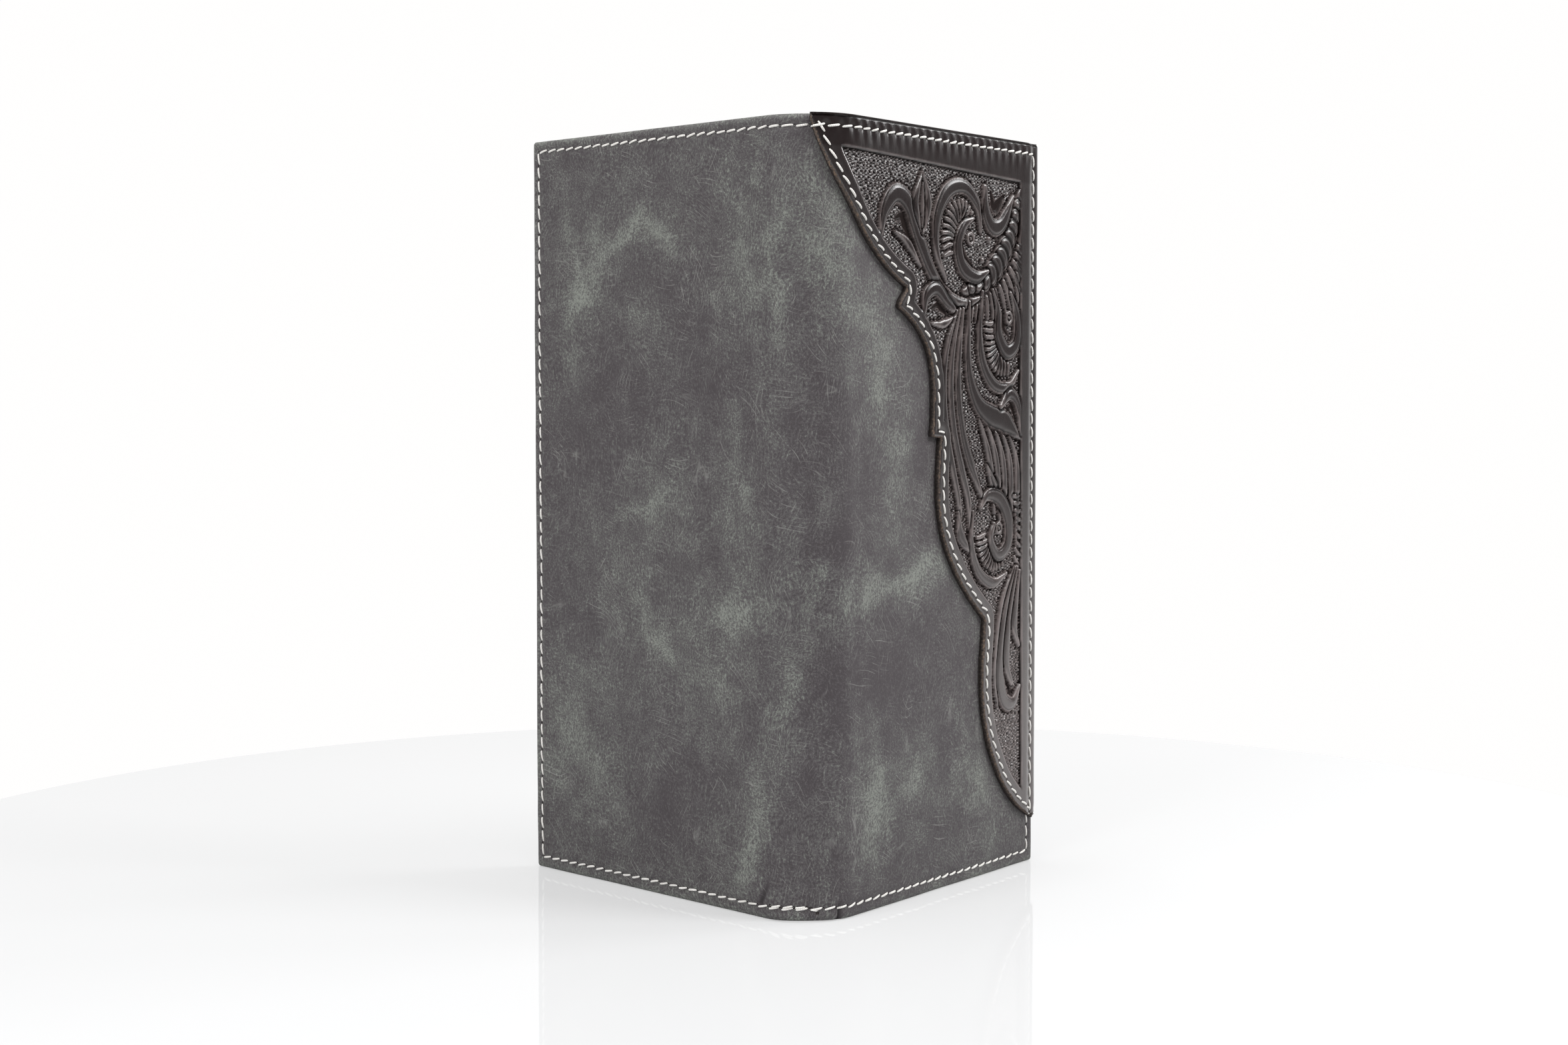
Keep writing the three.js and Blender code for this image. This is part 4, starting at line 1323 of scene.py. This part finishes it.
def hole_shade_material():
    """Painted shade for the inside of a needle hole: a near-black disc where the hole would lie in
    shadow.
    """
    material, tree, shader = new_material("needle_hole_shade", Roughness=0.9, Specular_IOR_Level=0.1)
    where = add_node(tree, "ShaderNodeTexCoord").outputs["Object"]
    lint = noise(tree, where, 900.0)
    colour = colours(tree, lint, (0.0, (0.010, 0.008, 0.008)), (1.0, (0.030, 0.024, 0.022)))
    tree.links.new(colour, shader.inputs["Base Color"])
    return material


sewing_thread = thread_material()
needle_hole_shade = hole_shade_material()
thread_turns = np.linspace(0, 2 * np.pi, THREAD_SIDES, endpoint=False)
thread_rings = np.linspace(0, 1, THREAD_RINGS)


def even_steps(line, pitch):
    """Points at even distances along a line of straight pieces, nearest to the pitch that fits."""
    line = np.asarray(line, float)
    length = run_lengths(line)[-1]
    count = max(int(round(length / pitch)), 1)
    return points_along(line, np.linspace(0, length, count + 1))


def stitch_faces():
    """The faces of a stitch, a tube of rings with closed ends, counted from its first point."""
    faces = []
    for ring in range(THREAD_RINGS - 1):
        for k in range(THREAD_SIDES):
            a = ring * THREAD_SIDES + k
            b = ring * THREAD_SIDES + (k + 1) % THREAD_SIDES
            faces.append([a, b, b + THREAD_SIDES, a + THREAD_SIDES])
    first_ring = list(range(THREAD_SIDES))
    last_ring = [(THREAD_RINGS - 1) * THREAD_SIDES + k for k in first_ring]
    return faces + [first_ring[::-1], last_ring]


def hole_faces():
    """The faces of a needle hole, wedges from its rim to the point in its middle."""
    return [[k, (k + 1) % THREAD_SIDES, THREAD_SIDES] for k in range(THREAD_SIDES)]


def stitch_points(first, last, surface, outward, chance):
    """The sheet points of a stitch between two holes, and the places of those points on its thread."""
    ahead = (last - first) / np.hypot(*(last - first))
    beside = np.array([-ahead[1], ahead[0]])
    lean = STITCH_LEAN * chance.uniform(0.5, 1.5)
    gap = STITCH_GAP * chance.uniform(0.7, 1.3)
    begin = first + ahead * gap - beside * lean
    end = last - ahead * gap + beside * lean
    bow = np.sin(np.pi * thread_rings)
    spots = begin + (end - begin) * thread_rings[:, None]
    spots = spots + beside * (STITCH_BOW * chance.uniform(-1, 1) * bow)[:, None]
    rise = THREAD_RADIUS * (THREAD_RISE * bow**0.45 - THREAD_DIVE)
    fat = THREAD_RADIUS * (THREAD_END + (1 - THREAD_END) * bow**0.5) * chance.uniform(0.92, 1.08)
    side_step = np.cos(thread_turns) * fat[:, None]
    lift = np.sin(thread_turns) * fat[:, None] * THREAD_FLATTENED
    across = spots[:, 0, None] + beside[0] * side_step
    up = spots[:, 1, None] + beside[1] * side_step
    depth = surface(spots[:, 0], spots[:, 1])[:, None] + outward * (rise[:, None] + lift)
    along = np.repeat(thread_rings * np.hypot(*(end - begin)) * THREAD_TWIST, THREAD_SIDES)
    around = np.tile(thread_turns / np.pi * 0.5, THREAD_RINGS)
    thread_place = np.stack([along, around, 0 * along], axis=-1)
    return np.stack([across, up, depth], axis=-1).reshape(-1, 3), thread_place


def hole_points(hole, surface, outward):
    """The sheet points of a needle hole: its rim, and a sunk point in its middle."""
    rim = hole + HOLE_RADIUS * np.stack([np.cos(thread_turns), np.sin(thread_turns)], axis=-1)
    spots = np.vstack([rim, hole])
    stands = np.append(np.full(THREAD_SIDES, HOLE_RIM), -HOLE_SINK)
    return np.column_stack([spots, surface(spots[:, 0], spots[:, 1]) + outward * stands])


def sew(name, runs, surface, lay, pitch=STITCH_PITCH, outward=-1, seed=1):
    """Stitches and needle holes along lines on the flat sheet.

    surface gives the depth of the face that is sewn, lay puts sheet points on the wallet,
    and outward is the sign of the depth on which the thread stands."""
    chance = np.random.default_rng(seed)
    points, marks, faces, slots = [], [], [], []
    total = 0
    for line in runs:
        holes = even_steps(line, pitch)
        parts = []
        for first, last in zip(holes[:-1], holes[1:]):
            sheet_points, thread_place = stitch_points(first, last, surface, outward, chance)
            parts.append((sheet_points, thread_place, stitch_faces(), THREAD_SLOT))
        for hole in holes:
            sheet_points = hole_points(hole, surface, outward)
            parts.append((sheet_points, 0 * sheet_points, hole_faces(), HOLE_SLOT))
        for sheet_points, thread_place, part_faces, slot in parts:
            points.append(lay(*sheet_points.T))
            marks.append(thread_place + (total, 0, 0))
            for face in part_faces:
                corners = [total + k for k in face]
                faces.append(corners if outward < 0 else corners[::-1])
                slots.append(slot)
            total += len(sheet_points)
    piece = add_piece(name, np.vstack(points), faces, sewing_thread, needle_hole_shade)
    piece.data.polygons.foreach_set("material_index", np.array(slots, np.int32))
    keep_on_points(piece, "thread_place", np.vstack(marks))
    return piece


def inner_line(line, inset):
    """A line that keeps its distance inside the cut edge, with the loops at the notches left out."""
    ahead = np.gradient(line, axis=0)
    ahead /= np.hypot(ahead[:, 0], ahead[:, 1])[:, None]
    moved = line + inset * np.stack([-ahead[:, 1], ahead[:, 0]], axis=-1)
    clear, _ = cut_distance(moved[:, 0], moved[:, 1])
    return moved[clear > inset - SEAM_LOOSE]


def overlay_sewn_face(across, up):
    """Depth of the overlay along its stitching."""
    return overlay_border(across, up) + OVERLAY_SEW_PULL


seam = inner_line(cut_line, OVERLAY_SEW_INSET)
below_head = seam[:, 1] < overlay_top_edge - SEAM_FROM_HEAD
seam = seam[below_head & (seam[:, 0] < overlay_outer_edge - SEAM_FROM_OUTER)]
overlay_sewing = sew(
    "overlay_stitching", [seam], overlay_sewn_face, place, pitch=OVERLAY_STITCH_PITCH, seed=23
)
bend_with_fold(overlay_sewing, FRONT)

# Linings: thin black twill glued to the inside of the shell, one cut per half, meeting on the spine.
# The cut edges are tucked against the turned edge of the leather.
LINING_THICKNESS = 0.5
LINING_DEPTH = 1.5
LINING_GAP = 0.3
LINING_STEP = 1.5
LINING_SLACK = [(0.05, 12.0, 71)]
LINING_HELD = 6

lining_outer = half_width - TURNED_EDGE_WIDTH - LINING_GAP
lining_foot = TURNED_EDGE_WIDTH + LINING_GAP
lining_head = HEIGHT - TURNED_EDGE_WIDTH - LINING_GAP


def twill():
    """Black twill: fine slanting ribs with a little lint."""
    material, tree, shader = new_material("lining_twill", Roughness=0.86, Sheen_Weight=0.3)
    where = stored(tree, "sheet_place", "Vector")
    ribs = slanting_ribs(tree, where, 0.9, 0.4)
    shade = combine(tree, "MULTIPLY", ribs, noise(tree, where, 0.9, 5.0))
    colour = colours(tree, shade, (0.0, (0.010, 0.010, 0.011)), (0.7, (0.040, 0.039, 0.038)))
    tree.links.new(colour, shader.inputs["Base Color"])
    emboss(tree, shader, ribs, 0.5, 0.0001)
    return material


lining_cloth = twill()
for side in (BACK, FRONT):
    lines = half_lines(side, lining_outer, LINING_STEP, False)
    across, up = np.meshgrid(lines, graded_lines(lining_foot, lining_head, LINING_STEP, False, False))
    loose = np.clip((lining_outer - np.abs(across)) / LINING_HELD, 0, 1)
    depth = LINING_DEPTH + swells(across, up, LINING_SLACK) * loose
    outer = place(across, up, depth)
    inner = place(across, up, depth + LINING_THICKNESS)
    lining = closed_sheet(HALF_NAMES[side] + "_lining_cloth", outer, inner, lining_cloth)
    keep_sheet_place(lining, across, up)
    bend_with_fold(lining, side)
    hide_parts(HALF_NAMES[side] + "_lining", "spine_lining")

# Bill panels: a plain leather panel per half, sewn down on three sides over the lining.
# The long edge at the spine is open, so that notes slide in behind the panel.
PANEL_LAP = 2.2
PANEL_INSET = 0.8
PANEL_DEPTH = 2.6
PANEL_THICKNESS = 0.8
PANEL_STEP = 1.1
PINCH_WIDTH = 9.0
CREASE_INSET = 2.2
CREASE_DEPTH = 0.18
CREASE_WIDTH = 0.35
CREASE_START = 2.5
CREASE_FADE = 3
PANEL_BOW = 0.25
PANEL_EDGE_ROUND = 0.4
PANEL_SWELLS = [(0.05, 11.0, 81)]
LAYER_GAP = 0.05
MOUTH_REACH = 16
HANDLED = 0.75
HANDLED_WIDTH = 0.7
HANDLED_PATCHES = [(0.3, 3.0, 82)]
HANDLED_LEATHER = (0.19, 0.155, 0.135, 1)

sewn_width = COVER_WIDTH - PANEL_INSET


def lay_flat(side):
    """Puts points of one cover, measured out from the end of the bend, on the wallet without bending."""

    def lay(out, up, depth):
        along = np.array([side * math.cos(bend_angle), math.sin(bend_angle)])
        inward = np.array([-side * math.sin(bend_angle), math.cos(bend_angle)])
        x = bend_end[side][0] + (along[0] * out + inward[0] * depth) * MM
        y = bend_end[side][1] + (along[1] * out + inward[1] * depth) * MM
        return np.stack([x, y, up * MM + 0 * x], axis=-1)

    return lay


def pocket_leather():
    """Smooth brown-black leather of the inside, with a fine grain and a soft shine."""
    material, tree, shader = new_material("pocket_leather", Roughness=0.46, Specular_IOR_Level=0.4)
    where = stored(tree, "sheet_place", "Vector")
    cells = add_node(tree, "ShaderNodeTexVoronoi", {"Vector": where, "Scale": 1.5}).outputs["Distance"]
    cloud = noise(tree, where, 0.12, 5.0)
    colour = colours(tree, cloud, (0.3, (0.026, 0.021, 0.019)), (0.75, (0.060, 0.050, 0.045)))
    colour = mixed(tree, stored(tree, "wear_and_highlight"), colour, HANDLED_LEATHER)
    tree.links.new(colour, shader.inputs["Base Color"])
    emboss(tree, shader, cells, 0.35, 0.00012)
    return material


inside_leather = pocket_leather()


def from_sewn_sides(out, up, outer, span):
    """Distance from the nearest of the three sewn sides of a panel."""
    return np.minimum(np.minimum(up - span[0], span[1] - up), outer - out)


def soft_panel(name, side, out, up, depth, thickness, corner, pinch, bow):
    """A leather panel with a free mouth at the spine, sewn flat on its other three sides."""
    middle = ((out[0] + out[1]) / 2, (up[0] + up[1]) / 2)
    half_size = ((out[1] - out[0]) / 2, (up[1] - up[0]) / 2)
    columns = graded_lines(out[0], out[1], PANEL_STEP, True, True)
    columns = columns if side == FRONT else columns[::-1]
    grid_out, grid_up = np.meshgrid(columns, graded_lines(up[0], up[1], PANEL_STEP, True, True))
    grid_out, grid_up = round_corners(grid_out, grid_up, middle, half_size, corner)
    rim = edge_distance(grid_out, grid_up, middle, half_size, corner)
    from_sewn = from_sewn_sides(grid_out, grid_up, out[1], up)
    from_mouth = grid_out - out[0]
    lift = 1 - ease(from_sewn, 0.0, PINCH_WIDTH)
    swell = np.sin(np.pi * np.clip((grid_up - up[0]) / (up[1] - up[0]), 0, 1))
    swell = swell * np.exp(-from_mouth / MOUTH_REACH)
    base = depth - pinch * lift + bow * swell + swells(grid_out, grid_up, PANEL_SWELLS)
    round_off = min(thickness * 0.45, 0.3) * np.clip(1 - rim / PANEL_EDGE_ROUND, 0, 1) ** 2
    crease = CREASE_DEPTH * bell(from_mouth - CREASE_INSET, CREASE_WIDTH)
    crease = crease * np.clip((from_sewn - CREASE_START) / CREASE_FADE, 0, 1)
    lay = lay_flat(side)
    under = lay(grid_out, grid_up, base + round_off)
    face = lay(grid_out, grid_up, base + thickness - round_off - crease)
    panel = closed_sheet(name, under, face, inside_leather)
    keep_sheet_place(panel, grid_out, grid_up)
    wear_and_highlight_strength = HANDLED * np.clip(1 - rim / HANDLED_WIDTH, 0, 1)
    wear_and_highlight_strength = wear_and_highlight_strength * (0.7 + swells(grid_out, grid_up, HANDLED_PATCHES))
    keep_on_points(panel, "wear_and_highlight", np.tile(wear_and_highlight_strength.ravel(), 2))
    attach(panel, HALF_NAMES[side] + "_cover")
    return panel


for side in (BACK, FRONT):
    panel = soft_panel(
        HALF_NAMES[side] + "_note_panel",
        side,
        (-PANEL_LAP, sewn_width),
        (PANEL_INSET, HEIGHT - PANEL_INSET),
        PANEL_DEPTH,
        PANEL_THICKNESS,
        CORNER_RADIUS,
        PANEL_DEPTH - EDGE_THICKNESS - LAYER_GAP,
        PANEL_BOW,
    )
    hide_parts(HALF_NAMES[side] + "_bill_panel")

# Card pockets: three steps of thin leather in each bank, every one sewn down on three sides.
# Each mouth faces the spine and has a creased line pressed along it.
POCKET_THICKNESS = 0.6
POCKET_GAP = 0.3
POCKET_TIERS = 3
POCKET_STEP = 14.0
FIRST_MOUTH = 10.0
BANK_SPACING = 1.2
POCKET_CORNER = 1.5
POCKET_BOW = 0.22
POCKET_LAYER_GAP = 0.03

low_bank = (PANEL_INSET, (HEIGHT - BANK_SPACING) / 2)
high_bank = ((HEIGHT + BANK_SPACING) / 2, HEIGHT - PANEL_INSET)
first_pocket_depth = PANEL_DEPTH + PANEL_THICKNESS + POCKET_GAP
sewn_stack = EDGE_THICKNESS + LAYER_GAP + PANEL_THICKNESS
banks = {"back_low": (BACK, low_bank), "back_high": (BACK, high_bank), "front_low": (FRONT, low_bank)}
for bank_name, (side, bank) in banks.items():
    for tier in range(POCKET_TIERS):
        depth = first_pocket_depth + tier * (POCKET_THICKNESS + POCKET_GAP)
        pocket = soft_panel(
            f"{bank_name}_pocket_{tier + 1}",
            side,
            (FIRST_MOUTH + tier * POCKET_STEP, sewn_width),
            bank,
            depth,
            POCKET_THICKNESS,
            POCKET_CORNER,
            depth - sewn_stack - tier * POCKET_THICKNESS - POCKET_LAYER_GAP,
            POCKET_BOW,
        )
        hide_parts(f"{bank_name}_card_pocket_{tier + 1}")

# Card window: a leather frame with a cut-out over a clear film, open at the spine like the pockets.
# The film is welded-edge vinyl that lies behind the frame and is held in its seam.
WINDOW_MOUTH = 14.0
WINDOW_BORDER = 7.0
WINDOW_CORNER = 4.0
FILM_THICKNESS = 0.25
FILM_LAP = 3.0
FILM_STEP = 2.0
FILM_RIPPLE = [(0.06, 9.0, 91)]
FILM_TINT = (0.93, 0.95, 0.95, 1)
RING_SIDE_STEPS = 30
RING_CORNER_STEPS = 8

window_out = (WINDOW_MOUTH + WINDOW_BORDER, sewn_width - WINDOW_BORDER)
window_up = (high_bank[0] + WINDOW_BORDER, high_bank[1] - WINDOW_BORDER)
frame_depth = first_pocket_depth + FILM_THICKNESS + POCKET_GAP


def rounded_loop(out, up, radius):
    """Points round a rounded rectangle, always the same number in the same order."""
    loop = []
    corners = [(out[1], up[0], -90), (out[1], up[1], 0), (out[0], up[1], 90), (out[0], up[0], 180)]
    for x, z, start in corners:
        cx = x - math.copysign(radius, x - sum(out) / 2)
        cz = z - math.copysign(radius, z - sum(up) / 2)
        for turn in np.radians(np.linspace(start, start + 90, RING_CORNER_STEPS)):
            loop.append((cx + radius * math.cos(turn), cz + radius * math.sin(turn)))
    filled = []
    for i, point in enumerate(loop):
        filled.append(point)
        if i % RING_CORNER_STEPS == RING_CORNER_STEPS - 1:
            after = loop[(i + 1) % len(loop)]
            for share in np.linspace(0, 1, RING_SIDE_STEPS, endpoint=False)[1:]:
                filled.append(tuple(np.add(point, np.subtract(after, point) * share)))
    return np.array(filled)


def grown(span, by):
    """A span made longer by the same length at both ends."""
    return (span[0] - by, span[1] + by)


# Section of the frame's leather: the share of the way in, and the height in shares of its thickness
RING_PROFILE = [
    (0.0, 0.3), (0.04, 0.85), (0.12, 1.0), (0.3, 1.0), (0.5, 1.0), (0.7, 1.0), (0.80, 0.80),
    (0.86, 1.0), (0.95, 0.95), (1.0, 0.4), (0.97, 0.0), (0.5, 0.0), (0.04, 0.0),
]
outer_loop = rounded_loop((WINDOW_MOUTH, sewn_width), high_bank, CORNER_RADIUS)
inner_loop = rounded_loop(window_out, window_up, WINDOW_CORNER)
sewn_drop = frame_depth - sewn_stack - FILM_THICKNESS - LAYER_GAP
ring_points = []
for share, height in RING_PROFILE:
    loop = outer_loop + (inner_loop - outer_loop) * share
    from_sewn = from_sewn_sides(loop[:, 0], loop[:, 1], sewn_width, high_bank)
    drop = sewn_drop * (1 - ease(from_sewn, 0.0, PINCH_WIDTH))
    ring_points.append(np.column_stack([loop, frame_depth - drop + height * POCKET_THICKNESS]))
ring_points = np.array(ring_points)
ring_faces = []
profile_count, loop_count, _ = ring_points.shape
for i in range(profile_count):
    for j in range(loop_count):
        a, b = i * loop_count + j, i * loop_count + (j + 1) % loop_count
        step = ((i + 1) % profile_count - i) * loop_count
        ring_faces.append([a, a + step, b + step, b])
flat_ring = ring_points.reshape(-1, 3)
lay_on_front = lay_flat(FRONT)
window_frame = add_piece(
    "card_window_surround", lay_on_front(*flat_ring.T), ring_faces, inside_leather
)
keep_on_points(window_frame, "sheet_place", flat_ring)
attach(window_frame, "front_cover")
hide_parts("card_window_frame")


def clear_vinyl():
    """Clear vinyl with a faint haze and soft ripples."""
    surface = {"Base_Color": FILM_TINT, "IOR": 1.5, "Transmission_Weight": 1.0}
    material, tree, shader = new_material("clear_vinyl", **surface)
    where = stored(tree, "sheet_place", "Vector")
    haze = noise(tree, where, 0.25, 3.0)
    tree.links.new(remap(tree, haze, 0.0, 1.0, 0.04, 0.16), shader.inputs["Roughness"])
    emboss(tree, shader, haze, 0.25, 0.0006)
    return material


film_out = grown(window_out, FILM_LAP)
film_up = grown(window_up, FILM_LAP)
film_columns = graded_lines(*film_out, FILM_STEP, False, False)
across, up = np.meshgrid(film_columns, graded_lines(*film_up, FILM_STEP, False, False))
depth = first_pocket_depth + swells(across, up, FILM_RIPPLE)
under = lay_on_front(across, up, depth)
face = lay_on_front(across, up, depth + FILM_THICKNESS)
film = closed_sheet("card_window_vinyl", under, face, clear_vinyl())
keep_sheet_place(film, across, up)
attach(film, "front_cover")
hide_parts("card_window_film")

# Edge stitching: the last seam, through all the layers round the three open edges of each half.
# On the front it runs over the overlay; inside, the other side of the same seam shows on the pockets.
def front_face(across, up):
    """Depth of whatever is outermost on the front half."""
    on_overlay = cut_distance(across, up)[0] > 0
    return np.where(on_overlay, overlay_border(across, up), shell_face(across, up))


# The seam starts and ends on the spine's foot, sewn back over itself, and its thread tail is left
BACKTACK = [(-9.6, SEW_FOOT_INSET + 0.45), (-0.6, SEW_FOOT_INSET + 0.35)]
THREAD_TAIL = [(0.4, SEW_FOOT_INSET + 0.2), (1.9, SEW_FOOT_INSET - 0.9)]


def edge_seam(side):
    """The runs of the edge stitching on one half: foot, outer edge and head."""
    outer = sewn_outer[side]
    foot = [(0.0, SEW_FOOT_INSET), (outer, SEW_FOOT_INSET)]
    head = [(0.0, sewn_head), (outer, sewn_head)]
    runs = [foot, [foot[1], head[1]], head]
    return runs + [BACKTACK, THREAD_TAIL] if side == BACK else runs


for side, outer_face in ((BACK, shell_face), (FRONT, front_face)):
    edge_sewing = sew(
        HALF_NAMES[side] + "_edge_stitching", edge_seam(side), outer_face, lay_on_shell, seed=25 + side
    )
    bend_with_fold(edge_sewing, side)


def sewn_inside_face(side):
    """Depth of the innermost leather along the seams of one cover."""

    def depth(out, up):
        layers = np.zeros(np.shape(out))
        for tier in range(POCKET_TIERS):
            layers = layers + (out > FIRST_MOUTH + tier * POCKET_STEP)
        if side == FRONT:
            window_layers = (out > WINDOW_MOUTH) * (1 + FILM_THICKNESS / POCKET_THICKNESS)
            layers = np.where(up > high_bank[0], window_layers, layers)
        return sewn_stack + layers * POCKET_THICKNESS

    return depth


BANK_SEAM_INSET = 1.8
BANK_SEAM_FROM_MOUTH = 0.6
BANK_SEAM_FROM_OUTER = 1.5
for side in (BACK, FRONT):
    seam_out = abs(sewn_outer[side]) - bend_length
    foot_seam = [(0.0, SEW_FOOT_INSET), (seam_out, SEW_FOOT_INSET)]
    head_seam = [(0.0, sewn_head), (seam_out, sewn_head)]
    inside_seams = [foot_seam, [foot_seam[1], head_seam[1]], head_seam]
    low_row = (FIRST_MOUTH, low_bank[1] - BANK_SEAM_INSET)
    high_row = (FIRST_MOUTH if side == BACK else WINDOW_MOUTH, high_bank[0] + BANK_SEAM_INSET)
    for mouth, height in (low_row, high_row):
        ends = (mouth + BANK_SEAM_FROM_MOUTH, seam_out - BANK_SEAM_FROM_OUTER)
        inside_seams.append([(end, height) for end in ends])
    inside_sewing = sew(
        HALF_NAMES[side] + "_inside_stitching",
        inside_seams,
        sewn_inside_face(side),
        lay_flat(side),
        outward=1,
        seed=35 + side,
    )
    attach(inside_sewing, HALF_NAMES[side] + "_cover")

boxes = {"cad": cad_bounds, "visual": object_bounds()}
{key: [list(corner) for corner in box] for key, box in boxes.items()}
